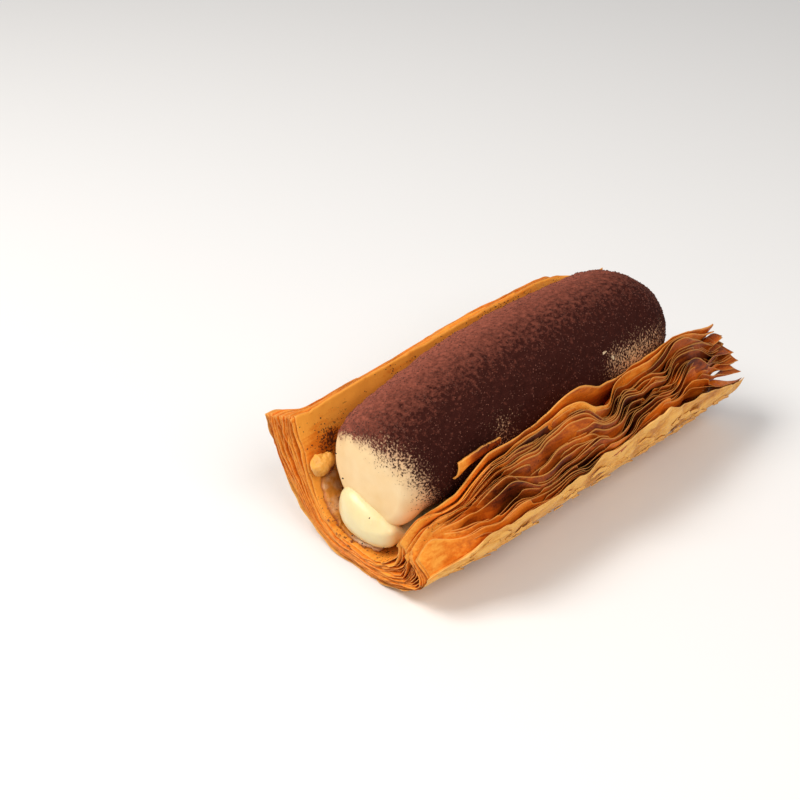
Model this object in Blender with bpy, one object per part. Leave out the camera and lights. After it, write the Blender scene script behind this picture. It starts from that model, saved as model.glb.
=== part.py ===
"""Napoleon pastry: a laminated trough holding a cocoa-dusted cream roll.

The pastry lies along X.  The end that shows its cream is at -X, the tall
arm of the trough is on the +Y side and the thick fanned arm on the -Y side.
The trough stands on a narrow flat strip of its underside at Z = 0.
Lengths below are in millimetres and become metres when a mesh is placed.
"""
import math

import bmesh
import bpy
from mathutils import Vector

MM = 0.001

# trough, whole
NEAR_X = -57.0          # cut end with the cream
FAR_X = 56.5            # other cut end
FLOOR_TOP = 6.5         # inside floor of the trough
FLOOR_DIP = 1.3         # the floor is thinner at the near end
LEAF_STEPS = 8          # bundles of leaves seen on a cut face
LENGTH_STEPS = 32
AROUND_STEPS = 36

# one side of the section: flat half width, bend radius, bend angle in degrees
INNER_LEFT = (2.0, 15.0, 72.0)
OUTER_LEFT = (3.7, 26.0, 75.0)
INNER_RIGHT = (2.0, 12.0, 72.0)
OUTER_RIGHT = (5.9, 25.0, 80.0)
OUTER_RIGHT_TUCK = 2.4  # the outside bends sooner at the near end

# how far the leaves reach from the middle of the floor, along their own length
REACH_INNER_LEFT = 38.6
REACH_OUTER_LEFT = 46.0
REACH_INNER_RIGHT = 36.5
REACH_OUTER_RIGHT = 40.8
LEFT_SWELL = 1.8        # the left rim is taller over the middle
LEFT_FALL = 5.5         # and falls away towards the far end
EAR = 3.0               # corner of the left rim that stands out at the near end
RIGHT_BUMP = 6.0        # hump of the right rim beside the roll
TORN_INNER = 10.0       # the right rim is torn low over the near third
TORN_OUTER = 8.0
CRUST_LAP = 4.0         # outside crust left longer along the middle

# uneven leaf ends
RIM_RIDGE = 0.75
END_RIDGE = 0.8
TIP_REACH = 2.2         # fanned tips at the far end of the right arm
FAR_SLANT = 3.2         # inner leaves of that arm stop sooner at the far end
SURFACE_WAVE = 0.30

# cream roll
ROLL_NEAR = -54.0
ROLL_FAR = 49.5
ROLL_RADIUS = 17.5
ROLL_Y = 0.3
ROLL_Z = 29.7
ROLL_THICKEST_X = 3.0
ROLL_SLIM_NEAR = 3.4
ROLL_SLIM_FAR = 2.4
ROLL_SAG_NEAR = 2.3
ROLL_SAG_FAR = 2.0
ROLL_NEAR_ROUND = 6.0
ROLL_NEAR_FACE = 0.74   # flat part of the near end as a share of the radius
ROLL_FAR_ROUND = 17.0

# custard under the roll
CUSTARD_NEAR = -56.3
CUSTARD_FAR = 50.0
CUSTARD_Y = -1.0
CUSTARD_HALF_WIDTH = 8.6
CUSTARD_LOW = 8.25
CUSTARD_HIGH = 11.3
CUSTARD_BULGE_HIGH = 16.6
CUSTARD_BULGE_SIDE = 1.4  # the bulge leans to the left arm
CUSTARD_BULGE_LENGTH = 5.0

# cream that lines the trough
LINING_NEAR = -55.6
LINING_FAR = 53.0
LINING_GAP = 0.35
LINING_THICK = 1.1
LINING_RIGHT_REACH = 4.0
LINING_LEFT_REACH = 22.0
LINING_SWELL = 1.9      # the cream is thicker in the corner of the near end

# dab of custard on the left wall, just above the lining at the near end
DAB_X = -53.4
DAB_HALF_LENGTH = 3.4
DAB_HALF_TALL = 2.5
DAB_HALF_THICK = 1.6
DAB_UP_WALL = 26.0      # distance from the middle of the floor, along the leaf

# flake lying between the roll and the right arm
FLAKE_THICK = 0.6

COLLECTION = "napoleon_pastry"


def mix(low, high, share):
    """Blend two numbers by a share of 0 to 1."""
    return low + (high - low) * share


def ease(x, start, stop):
    """Rise smoothly from 0 at start to 1 at stop."""
    t = min(max((x - start) / (stop - start), 0.0), 1.0)
    return t * t * (3.0 - 2.0 * t)


def hump(x, middle, half_width):
    """Smooth bump of height 1."""
    return math.exp(-((x - middle) / half_width) ** 2)


def walk(side, distance, floor):
    """Point reached along one side of a section: flat, then bend, then straight."""
    flat, radius, angle = side
    turn = math.radians(angle)
    if distance <= flat:
        return distance, floor
    distance -= flat
    if distance <= radius * turn:
        bend = distance / radius
        return flat + radius * math.sin(bend), floor + radius * (1.0 - math.cos(bend))
    distance -= radius * turn
    across = flat + radius * math.sin(turn) + distance * math.cos(turn)
    up = floor + radius * (1.0 - math.cos(turn)) + distance * math.sin(turn)
    return across, up


def floor_top(x):
    """Height of the inside floor."""
    return FLOOR_TOP - FLOOR_DIP * (1.0 - ease(x, NEAR_X, -35.0))


def reach(x, left, outer):
    """Length of the inner or outer leaf on one side at station x."""
    if left and not outer:
        swell = LEFT_SWELL * ease(x, -40.0, 5.0) - LEFT_FALL * ease(x, 30.0, 56.0)
        return REACH_INNER_LEFT + swell + 0.8 * (1.0 - ease(x, NEAR_X, -50.0))
    if left:
        swell = LEFT_SWELL * ease(x, -20.0, 10.0) - LEFT_FALL * ease(x, 40.0, 52.0)
        return REACH_OUTER_LEFT + swell + EAR * (1.0 - ease(x, -56.0, -48.0))
    if not outer:
        torn = TORN_INNER * (1.0 - ease(x, -43.0, -34.0)) + 9.0 * (1.0 - ease(x, -59.5, -53.0))
        return REACH_INNER_RIGHT - torn + RIGHT_BUMP * hump(x, -5.0, 8.0) - 5.0 * ease(x, 38.0, 57.0)
    torn = TORN_OUTER * (1.0 - ease(x, -50.0, -43.0)) + 4.0 * (1.0 - ease(x, -58.0, -48.0))
    lap = CRUST_LAP * ease(x, -10.0, -5.0) * (1.0 - ease(x, 18.0, 32.0))
    return REACH_OUTER_RIGHT - torn + lap - 4.0 * ease(x, 35.0, 57.0)


def trough_point(x, around, depth, slack=0.0):
    """Point of the trough: around runs -1..1 from right rim to left rim, depth 0..1 outward."""
    left = around >= 0.0
    share = abs(around)
    if left:
        inner, outer, sign = INNER_LEFT, OUTER_LEFT, 1.0
    else:
        tuck = OUTER_RIGHT_TUCK * (1.0 - ease(x, NEAR_X, -35.0))
        inner, outer, sign = INNER_RIGHT, (OUTER_RIGHT[0] - tuck,) + OUTER_RIGHT[1:], -1.0
    y_in, z_in = walk(inner, share * (reach(x, left, False) + slack), floor_top(x))
    y_out, z_out = walk(outer, share * (reach(x, left, True) + slack), 0.0)
    return sign * mix(y_in, y_out, depth), mix(z_in, z_out, depth)


def grid_block(counts, place):
    """Closed box mesh cut into counts cells per axis, each corner moved by place(a, b, c)."""
    bm = bmesh.new()
    bmesh.ops.create_cube(bm, size=1.0)
    for axis, count in enumerate(counts):
        spans = [e for e in bm.edges if abs((e.verts[0].co - e.verts[1].co)[axis]) > 0.5]
        bmesh.ops.subdivide_edges(bm, edges=spans, cuts=count - 1, use_grid_fill=True)
    for vert in bm.verts:
        a, b, c = (value + 0.5 for value in vert.co)
        vert.co = Vector(place(a, b, c)) * MM
    return bm


def solid(name, bm, material, group):
    """Turn a bmesh into a named object of the group."""
    bmesh.ops.recalc_face_normals(bm, faces=bm.faces)
    if bm.calc_volume(signed=True) < 0.0:
        bmesh.ops.reverse_faces(bm, faces=bm.faces)
    mesh = bpy.data.meshes.new(name)
    bm.to_mesh(mesh)
    bm.free()
    mesh.materials.append(material)
    body = bpy.data.objects.new(name, mesh)
    group.objects.link(body)
    return body


def finish(name, colour, roughness):
    """Principled material."""
    material = bpy.data.materials.new(name)
    material.use_nodes = True
    shader = material.node_tree.nodes["Principled BSDF"]
    shader.inputs["Base Color"].default_value = (*colour, 1.0)
    shader.inputs["Roughness"].default_value = roughness
    shader.inputs["Metallic"].default_value = 0.0
    return material


def shell_place(a, b, c):
    """Corner of the pastry shell: a along, b around, c through the leaves."""
    around = 2.0 * b - 1.0
    around = math.copysign(abs(around) ** 0.88, around)
    along = 2.0 * a - 1.0
    along = math.copysign(abs(along) ** 0.92, along)
    x = mix(NEAR_X, FAR_X, 0.5 + 0.5 * along)
    level = round(c * LEAF_STEPS)
    ridge = 1.0 if level % 2 else -1.0
    rim = abs(around) ** 24
    slack = RIM_RIDGE * rim * ridge * (0.7 + 0.3 * math.sin(0.31 * x + 2.1 * level))
    tip_near = max(0.0, -along) ** 30
    tip_far = max(0.0, along) ** 30
    x += END_RIDGE * ridge * (tip_far - tip_near) * (0.75 + 0.25 * math.sin(5.0 * around + level))
    x -= 1.0 * tip_near * c * ease(around, 0.75, 1.0)
    fan = TIP_REACH * ease(-around, 0.55, 1.0) * (0.6 + 0.4 * math.sin(1.9 * level))
    x += tip_far * (fan - FAR_SLANT * (1.0 - c) * ease(-around, 0.3, 1.0))
    y, z = trough_point(x, around, c, slack)
    standing = ease(abs(y), 7.0, 20.0)
    swell = SURFACE_WAVE * math.sin(0.17 * x + 4.0 * around) * math.sin(0.09 * x - 1.0)
    y += swell * standing * (1.0 if around > 0.0 else -1.0) * c
    return x, y, z


def roll_ring(x):
    """Centre height and radius of the cream roll at station x, before its ends are rounded."""
    away = (x - ROLL_THICKEST_X) / 50.0
    near = away < 0.0
    radius = ROLL_RADIUS - (ROLL_SLIM_NEAR if near else ROLL_SLIM_FAR) * away * away
    centre = ROLL_Z - (ROLL_SAG_NEAR if near else ROLL_SAG_FAR) * away * away
    return centre, radius


def log_from_sphere(rings, segments, place):
    """Sphere mesh whose poles lie on X, each corner moved by place(travel, angle, spread)."""
    bm = bmesh.new()
    bmesh.ops.create_uvsphere(bm, u_segments=segments, v_segments=rings, radius=1.0)
    for vert in bm.verts:
        polar = math.acos(min(max(-vert.co.z, -1.0), 1.0)) / math.pi
        angle = math.atan2(vert.co.y, vert.co.x)
        on_axis = polar < 1.0e-4 or polar > 1.0 - 1.0e-4
        vert.co = Vector(place(polar, angle, 0.0 if on_axis else 1.0)) * MM
    return bm


def roll_place(travel, angle, spread):
    """Corner of the cream roll: travel 0..1 from the near end to the far end."""
    near_share, far_share = 0.22, 0.30
    if travel < near_share:
        t = travel / near_share
        turn = 0.5 * math.pi * max(0.0, (t - 0.4) / 0.6)
        x = ROLL_NEAR + 0.8 * min(t / 0.4, 1.0) ** 2 + (ROLL_NEAR_ROUND - 0.8) * (1.0 - math.cos(turn))
        swell = ROLL_NEAR_FACE * min(t / 0.4, 1.0) + (1.0 - ROLL_NEAR_FACE) * math.sin(turn)
    elif travel > 1.0 - far_share:
        t = (1.0 - travel) / far_share
        turn = 0.5 * math.pi * t
        x = ROLL_FAR - ROLL_FAR_ROUND * (1.0 - math.sin(0.5 * math.pi - turn) ** 1.15)
        swell = math.sin(turn) ** 0.9 if t > 0.0 else 0.0
    else:
        t = (travel - near_share) / (1.0 - near_share - far_share)
        x = mix(ROLL_NEAR + ROLL_NEAR_ROUND, ROLL_FAR - ROLL_FAR_ROUND, t)
        swell = 1.0
    centre, radius = roll_ring(x)
    radius *= swell * spread
    fold = 0.35 * (1.0 - ease(x, ROLL_NEAR, -44.0)) * math.cos(2.0 * angle + 0.6) * swell
    radius += fold * spread
    return x, ROLL_Y + radius * math.cos(angle), centre + radius * math.sin(angle)


def custard_place(travel, angle, spread):
    """Corner of the custard strip, plump where it shows at the near end."""
    turn = math.pi * travel
    if travel < 0.5:
        x = CUSTARD_NEAR + CUSTARD_BULGE_LENGTH * (1.0 - math.cos(min(2.2 * turn, math.pi) / 2.0))
        full = math.sin(min(2.2 * turn, math.pi) / 2.0)
        x += max(0.0, 2.2 * turn - math.pi) / (1.1 * math.pi - math.pi) * 4.0
    else:
        t = (travel - 0.5) * 2.0
        x = mix(CUSTARD_NEAR + CUSTARD_BULGE_LENGTH + 4.0, CUSTARD_FAR, ease(t, -0.2, 1.0))
        full = math.sqrt(max(0.0, 1.0 - ease(t, 0.55, 1.0) ** 2))
    bulge = 1.0 - ease(x, CUSTARD_NEAR + 1.8, CUSTARD_NEAR + 7.2)
    low = CUSTARD_LOW - FLOOR_TOP + floor_top(x)
    roof = roll_ring(max(x, ROLL_NEAR + 7.0))
    high = min(CUSTARD_HIGH, roof[0] - roof[1] - 0.45)
    high = mix(high, CUSTARD_BULGE_HIGH, bulge)
    middle = 0.5 * (low + high)
    tall = 0.5 * (high - low) * full * spread
    wide = CUSTARD_HALF_WIDTH * full * spread * (1.0 + 0.08 * bulge)
    across = CUSTARD_Y + CUSTARD_BULGE_SIDE * bulge + wide * math.cos(angle)
    return x, across, middle + tall * math.sin(angle)


def lining_place(a, b, c):
    """Corner of the cream lining: a along, b around, c outward towards the leaves."""
    x = mix(LINING_NEAR + 1.6 * (2.0 * b - 1.0) ** 2, LINING_FAR, a)
    distance = mix(-LINING_RIGHT_REACH, LINING_LEFT_REACH, b)
    left = distance >= 0.0
    side = INNER_LEFT if left else INNER_RIGHT
    flat, radius, angle = side
    taper = math.sin(math.pi * b) ** 0.35 if 0.0 < b < 1.0 else 0.0
    corner = LINING_SWELL * (1.0 - ease(x, -54.0, -45.0)) * hump(distance, 15.0, 6.0)
    depth = LINING_GAP + (LINING_THICK * mix(0.35, 1.0, taper) + corner * taper) * (1.0 - c)
    y, z = walk((flat, radius - depth, angle), abs(distance) * (radius - depth) / radius, 0.0)
    z += floor_top(x) + depth
    return x, (y if left else -y), z


def dab_place(travel, angle, spread):
    """Corner of the custard dab, an egg that leans on the left wall."""
    turn = math.pi * travel
    full = math.sin(turn) * spread
    x = DAB_X - DAB_HALF_LENGTH * math.cos(turn)
    y, z = walk(INNER_LEFT, DAB_UP_WALL, floor_top(DAB_X))
    lean = math.radians(INNER_LEFT[2])
    up = DAB_HALF_TALL * full * math.sin(angle)
    out = DAB_HALF_THICK * full * math.cos(angle) - DAB_HALF_THICK - LINING_GAP
    y += up * math.cos(lean) + out * math.sin(lean)
    z += up * math.sin(lean) - out * math.cos(lean)
    return x, y, z


def flake_place(a, b, c):
    """Corner of the curled flake: a along its length, b across, c through."""
    x = mix(-41.0, -29.0, a)
    curl = mix(-0.9, 0.9, b)
    y = -15.5 - 1.2 * math.cos(curl) - FLAKE_THICK * c - 0.9 * a
    z = mix(30.6, 33.0, a) + 1.5 * math.sin(curl)
    return x, y, z


def build():
    """Make every solid of the pastry and stand it on the middle of its box."""
    for stale in list(bpy.data.objects):
        bpy.data.objects.remove(stale)
    group = bpy.data.collections.new(COLLECTION)
    bpy.context.scene.collection.children.link(group)

    crust = finish("baked_puff_pastry", (0.58, 0.27, 0.06), 0.6)
    cocoa = finish("cocoa_dusted_cream", (0.07, 0.028, 0.02), 0.9)
    custard = finish("vanilla_custard", (0.80, 0.70, 0.30), 0.3)
    cream = finish("coffee_cream", (0.72, 0.50, 0.26), 0.5)
    dab = finish("baked_custard", (0.72, 0.42, 0.10), 0.4)
    flake = finish("loose_pastry_flake", (0.50, 0.20, 0.05), 0.6)

    counts = (LENGTH_STEPS, AROUND_STEPS, LEAF_STEPS)
    solids = [
        solid("pastry_shell", grid_block(counts, shell_place), crust, group),
        solid("cream_roll", log_from_sphere(24, 28, roll_place), cocoa, group),
        solid("custard_strip", log_from_sphere(18, 20, custard_place), custard, group),
        solid("cream_lining", grid_block((20, 16, 1), lining_place), cream, group),
        solid("custard_dab", log_from_sphere(8, 10, dab_place), dab, group),
        solid("loose_flake", grid_block((8, 5, 1), flake_place), flake, group),
    ]
    corners = [vert.co for body in solids for vert in body.data.vertices]
    lowest = Vector(tuple(min(co[i] for co in corners) for i in range(3)))
    highest = Vector(tuple(max(co[i] for co in corners) for i in range(3)))
    middle = 0.5 * (lowest + highest)
    shift = Vector((-middle.x, -middle.y, -lowest.z))
    for body in solids:
        for vert in body.data.vertices:
            vert.co += shift
    return tuple(shift / MM)


SHIFT_MM = build()
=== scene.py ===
"""Napoleon pastry: laminated trough, cocoa-dusted cream roll, custard and crumbs.

Lengths inside the classes are in millimetres, as a pastry cook would give them,
and become metres where a mesh is written.  The pastry lies along X with the end
that shows its cream at -X, its plain arm at +Y and its fanned arm at -Y.
"""

import logging
import math
from dataclasses import dataclass, field
from enum import Enum
from typing import Callable, Iterable, Optional, Sequence, Union

import bpy
import numpy as np
from mathutils import Matrix, Vector


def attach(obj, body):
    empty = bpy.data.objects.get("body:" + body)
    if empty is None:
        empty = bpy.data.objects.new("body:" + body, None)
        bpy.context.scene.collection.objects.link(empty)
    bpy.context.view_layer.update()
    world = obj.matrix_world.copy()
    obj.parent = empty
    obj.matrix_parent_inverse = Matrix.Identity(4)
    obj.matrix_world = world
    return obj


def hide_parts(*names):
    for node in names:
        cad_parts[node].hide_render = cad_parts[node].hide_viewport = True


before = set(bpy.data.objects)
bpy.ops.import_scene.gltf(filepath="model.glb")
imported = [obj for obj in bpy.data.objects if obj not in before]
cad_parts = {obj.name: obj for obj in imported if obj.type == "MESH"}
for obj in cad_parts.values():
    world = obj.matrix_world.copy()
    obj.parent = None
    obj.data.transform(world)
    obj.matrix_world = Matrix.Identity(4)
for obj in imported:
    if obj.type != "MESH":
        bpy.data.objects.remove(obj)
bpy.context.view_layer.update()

log = logging.getLogger("napoleon_pastry")

# a number or a whole grid of them
Numbers = Union[float, np.ndarray]

MM = 0.001
# nothing reaches lower than this above the table
LOWEST_MM = 0.02
# the section's own axes, moved to the middle of the pastry's box
SHIFT_MM = np.array([-0.2117, -0.2566, 0.0])


class Arm(Enum):
    """The two walls of the trough, with the sign of Y they stand on."""

    FANNED = -1.0
    PLAIN = 1.0


class Face(Enum):
    """The two skins of one pastry leaf."""

    INNER = 0
    OUTER = 1


# ------------------------------------------------------------------ numbers


def linear(hex_colour: str, alpha: float = 1.0) -> tuple[float, float, float, float]:
    """Turn an sRGB hex colour into linear light.

    Args:
        hex_colour: six hex digits after a hash.
        alpha: opacity passed through.

    Returns:
        Red, green, blue and alpha; each channel c becomes c / 12.92 below
        0.04045 and ((c + 0.055) / 1.055) to the power 2.4 above it.
    """
    channels = [int(hex_colour[i : i + 2], 16) / 255.0 for i in (1, 3, 5)]
    red, green, blue = (
        c / 12.92 if c <= 0.04045 else ((c + 0.055) / 1.055) ** 2.4 for c in channels
    )
    return red, green, blue, alpha


def mix(low: Numbers, high: Numbers, share: Numbers) -> Numbers:
    """Blend two numbers or arrays: low plus share of the difference."""
    return low + (high - low) * share


def ease(x: Numbers, start: float, stop: float) -> np.ndarray:
    """Rise smoothly from 0 at start to 1 at stop, as 3t^2 - 2t^3."""
    t = np.clip((np.asarray(x, float) - start) / (stop - start), 0.0, 1.0)
    return t * t * (3.0 - 2.0 * t)


def hump(x: Numbers, middle: float, half_width: float) -> np.ndarray:
    """Bell of height 1: e to minus the squared distance over half_width."""
    return np.exp(-(((np.asarray(x, float) - middle) / half_width) ** 2))


def scatter_value(corners: Sequence[np.ndarray], seed: int) -> np.ndarray:
    """Fixed pseudo-random number of -1..1 for whole-number lattice corners.

    Args:
        corners: one integer array per axis.
        seed: picks another set of numbers.

    Returns:
        The corners mixed by integer multiplication and shifts, scaled to -1..1.
    """
    mixed = np.full(corners[0].shape, (seed * 2654435761) % 4294967296, np.uint64)
    for corner, prime in zip(corners, (374761393, 668265263, 2246822519)):
        mixed = mixed + (corner.astype(np.int64) & 0xFFFFFF).astype(np.uint64) * np.uint64(prime)
        mixed = mixed & np.uint64(0xFFFFFFFF)
        mixed = (mixed ^ (mixed >> np.uint64(13))) * np.uint64(1274126177)
        mixed = mixed & np.uint64(0xFFFFFFFF)
    mixed = mixed ^ (mixed >> np.uint64(16))
    return (mixed & np.uint64(0xFFFFFF)).astype(float) / 8388607.5 - 1.0


def soft_noise(axes: Sequence[Numbers], seed: int) -> np.ndarray:
    """Smooth noise of -1..1 with features one unit long.

    Args:
        axes: one coordinate array per axis, two or three of them.
        seed: picks another pattern.

    Returns:
        Lattice numbers blended across each cell by 6t^5 - 15t^4 + 10t^3.
    """
    axes = np.broadcast_arrays(*axes)
    cells = [np.floor(a).astype(np.int64) for a in axes]
    parts = [a - c for a, c in zip(axes, cells)]
    fades = [p * p * p * (p * (p * 6.0 - 15.0) + 10.0) for p in parts]
    total = np.zeros(axes[0].shape)
    for corner in range(2 ** len(axes)):
        bits = [(corner >> i) & 1 for i in range(len(axes))]
        weight = np.ones(axes[0].shape)
        for bit, fade in zip(bits, fades):
            weight = weight * (fade if bit else 1.0 - fade)
        total += weight * scatter_value([c + b for c, b in zip(cells, bits)], seed)
    return total


def rough_noise(axes: Sequence[Numbers], seed: int, octaves: int = 3) -> np.ndarray:
    """Noise with finer noise on it.

    Args:
        axes: one coordinate array per axis, in units of the largest feature.
        seed: picks another pattern.
        octaves: how many layers, each 2.1 times finer and half as tall.

    Returns:
        The sum of the layers, about -1..1.
    """
    total, height, scale = 0.0, 1.0, 1.0
    for layer in range(octaves):
        total = total + height * soft_noise([a * scale for a in axes], seed + 31 * layer)
        height, scale = height * 0.5, scale * 2.1
    return total / 1.6


# ------------------------------------------------------------------- meshes


@dataclass
class Skin:
    """A mesh being gathered: corners in millimetres, quads, and named values per corner."""

    corners: list = field(default_factory=list)
    quads: list = field(default_factory=list)
    values: dict = field(default_factory=dict)
    count: int = 0

    def add(self, corners: np.ndarray, quads: np.ndarray, values: dict) -> None:
        """Append a closed body.

        Args:
            corners: (n, 3) array in millimetres.
            quads: (m, 4) corner numbers; a triangle repeats its last corner.
            values: name to (n,) array.

        The body is turned over if its signed volume, one sixth of the summed
        triple products of its triangles, comes out negative.
        """
        a, b, c, d = (corners[quads[:, i]] for i in range(4))
        volume = np.einsum("ij,ij->", a, np.cross(b, c)) + np.einsum("ij,ij->", a, np.cross(c, d))
        if volume < 0.0:
            quads = quads[:, ::-1]
            flat = quads[:, 0] == quads[:, 1]
            quads[flat] = quads[flat][:, [1, 2, 3, 3]]
        self.corners.append(corners)
        self.quads.append(quads + self.count)
        for name, value in values.items():
            self.values.setdefault(name, []).append(np.broadcast_to(value, corners.shape[:1]))
        self.count += len(corners)

    def write(self, name: str, finish: bpy.types.Material, smooth: bool = True) -> bpy.types.Object:
        """Write the gathered bodies into one mesh object at the origin.

        Args:
            name: object and mesh name.
            finish: material of the whole piece.
            smooth: shade the faces smooth.

        Returns:
            The new object, linked to the scene and riding on the pastry.
        """
        corners = (np.concatenate(self.corners) + SHIFT_MM) * MM
        quads = np.concatenate(self.quads)
        is_quad = quads[:, 2] != quads[:, 3]
        sizes = np.where(is_quad, 4, 3)
        keep = np.ones(quads.shape, bool)
        keep[~is_quad, 3] = False
        loops = quads[keep]
        mesh = bpy.data.meshes.new(name)
        mesh.vertices.add(len(corners))
        mesh.vertices.foreach_set("co", corners.astype(np.float32).ravel())
        mesh.loops.add(len(loops))
        mesh.loops.foreach_set("vertex_index", loops.astype(np.int32))
        mesh.polygons.add(len(quads))
        starts = np.concatenate(([0], np.cumsum(sizes)[:-1]))
        mesh.polygons.foreach_set("loop_start", starts.astype(np.int32))
        mesh.polygons.foreach_set("use_smooth", np.full(len(quads), smooth))
        for value_name, parts in self.values.items():
            layer = mesh.attributes.new(value_name, "FLOAT", "POINT")
            layer.data.foreach_set("value", np.concatenate(parts).astype(np.float32))
        mesh.update(calc_edges=True)
        mesh.materials.append(finish)
        body = bpy.data.objects.new(name, mesh)
        bpy.context.scene.collection.objects.link(body)
        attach(body, "root")
        triangles = int((sizes - 2).sum())
        log.info("%s: %d triangles", name, triangles)
        return body


def sheet_quads(rows: int, columns: int) -> np.ndarray:
    """Corner numbers of a rows by columns grid of corners, as (n, 4) quads."""
    r, c = np.meshgrid(np.arange(rows - 1), np.arange(columns - 1), indexing="ij")
    first = (r * columns + c).ravel()
    return np.stack([first, first + 1, first + columns + 1, first + columns], axis=1)


def slab(inner: np.ndarray, outer: np.ndarray) -> tuple[np.ndarray, np.ndarray]:
    """Close two facing grids into one thin body.

    Args:
        inner: (rows, columns, 3) grid.
        outer: the same grid on the other skin.

    Returns:
        Corners and quads; the two skins face apart and a strip of quads
        runs round their common edge.
    """
    rows, columns = inner.shape[:2]
    size = rows * columns
    top = sheet_quads(rows, columns)
    index = np.arange(size).reshape(rows, columns)
    loop = np.concatenate([index[0, :-1], index[:-1, -1], index[-1, :0:-1], index[:0:-1, 0]])
    following = np.roll(loop, -1)
    wall = np.stack([loop, loop + size, following + size, following], axis=1)
    corners = np.concatenate([inner.reshape(-1, 3), outer.reshape(-1, 3)])
    return corners, np.concatenate([top, top[:, ::-1] + size, wall])


def pod(rings: np.ndarray, first: np.ndarray, last: np.ndarray) -> tuple[np.ndarray, np.ndarray]:
    """Close a stack of rings into a pod with a point at each end.

    Args:
        rings: (rings, segments, 3) grid, closed round its second axis.
        first: point closing the first ring.
        last: point closing the last ring.

    Returns:
        Corners and quads, with fans of triangles at both ends.
    """
    count, segments = rings.shape[:2]
    r, s = np.meshgrid(np.arange(count - 1), np.arange(segments), indexing="ij")
    a = (r * segments + s).ravel()
    b = (r * segments + (s + 1) % segments).ravel()
    body = np.stack([a, b, b + segments, a + segments], axis=1)
    around = np.arange(segments)
    following = (around + 1) % segments
    tip = np.full(segments, count * segments)
    end = (count - 1) * segments
    near = np.stack([following, around, tip, tip], axis=1)
    far = np.stack([around + end, following + end, tip + 1, tip + 1], axis=1)
    corners = np.concatenate([rings.reshape(-1, 3), first[None], last[None]])
    return corners, np.concatenate([body, near, far])


def inflate(
    surface: Callable[[Numbers, Numbers], np.ndarray], rings: int, segments: int
) -> tuple[np.ndarray, np.ndarray]:
    """Make a pod from a surface.

    Args:
        surface: gives points from a travel of 0..1 and an angle.
        rings: how many rings, evenly spaced in travel between the two tips.
        segments: how many corners to a ring.

    Returns:
        Corners and quads.
    """
    travel = np.linspace(0.0, 1.0, rings + 2)[1:-1, None]
    angle = np.linspace(0.0, 2.0 * np.pi, segments, endpoint=False)[None, :]
    tips = surface(np.array([0.0, 1.0]), np.zeros(2))
    return pod(surface(travel, angle), tips[0], tips[1])


# ---------------------------------------------------------------- materials


def add_node(
    tree: bpy.types.NodeTree,
    kind: str,
    settings: Optional[dict] = None,
    sockets: Optional[dict] = None,
) -> bpy.types.Node:
    """Add a node with its settings and links.

    Args:
        tree: node tree that takes it.
        kind: node type name.
        settings: node properties; "stops" fills a colour ramp with (place, hex) pairs.
        sockets: input name or number to a value, or to the output socket feeding it.

    Returns:
        The new node.
    """
    made = tree.nodes.new(kind)
    for name, value in (settings or {}).items():
        if name == "stops":
            ramp = made.color_ramp
            for place, colour in value[len(ramp.elements) :]:
                ramp.elements.new(place).color = linear(colour)
            for element, (place, colour) in zip(ramp.elements, value):
                element.position, element.color = place, linear(colour)
        else:
            setattr(made, name, value)
    for name, value in (sockets or {}).items():
        if isinstance(value, bpy.types.NodeSocket):
            tree.links.new(value, made.inputs[name])
        else:
            made.inputs[name].default_value = value
    return made


def start_material(name: str) -> tuple[bpy.types.Material, bpy.types.NodeTree, bpy.types.Node]:
    """Make an empty node material and return it, its tree and its Principled shader."""
    material = bpy.data.materials.new(name)
    material.use_nodes = True
    tree = material.node_tree
    return material, tree, tree.nodes["Principled BSDF"]


def millimetre_space(tree: bpy.types.NodeTree, stretch: tuple[float, float, float]) -> bpy.types.NodeSocket:
    """Object coordinates divided by a length per axis, given in millimetres."""
    place = add_node(tree, "ShaderNodeTexCoord")
    scale = tuple(1000.0 / length for length in stretch)
    return add_node(
        tree, "ShaderNodeMapping", None, {"Vector": place.outputs["Object"], "Scale": scale}
    ).outputs["Vector"]


def sieve(
    tree: bpy.types.NodeTree,
    cover: bpy.types.NodeSocket,
    speck: bpy.types.NodeSocket,
    span: tuple[float, float],
    most: float,
    under: bpy.types.NodeSocket,
    powder: Union[tuple, bpy.types.NodeSocket],
) -> tuple[bpy.types.NodeSocket, bpy.types.NodeSocket]:
    """Lay powder over a colour, breaking into specks where it thins out.

    Args:
        tree: node tree that takes it.
        cover: how much powder fell here.
        speck: noise the size of the specks.
        span: cover less speck, where the powder starts and where it is full.
        most: how far full powder hides what is under it.
        under: colour below the powder.
        powder: colour of the powder.

    Returns:
        The mixed colour, and how thick the powder is: cover less speck, eased
        from 0 at the start of the span to most at its end.
    """
    settled = add_node(tree, "ShaderNodeMath", {"operation": "SUBTRACT"}, {0: cover, 1: speck})
    start, full = span
    thick = add_node(
        tree,
        "ShaderNodeMapRange",
        {"interpolation_type": "SMOOTHSTEP"},
        {"Value": settled.outputs[0], "From Min": start, "From Max": full, "To Max": most},
    ).outputs["Result"]
    mixed = add_node(
        tree, "ShaderNodeMix", {"data_type": "RGBA"}, {"Factor": thick, "A": under, "B": powder}
    )
    return mixed.outputs["Result"], thick


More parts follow.
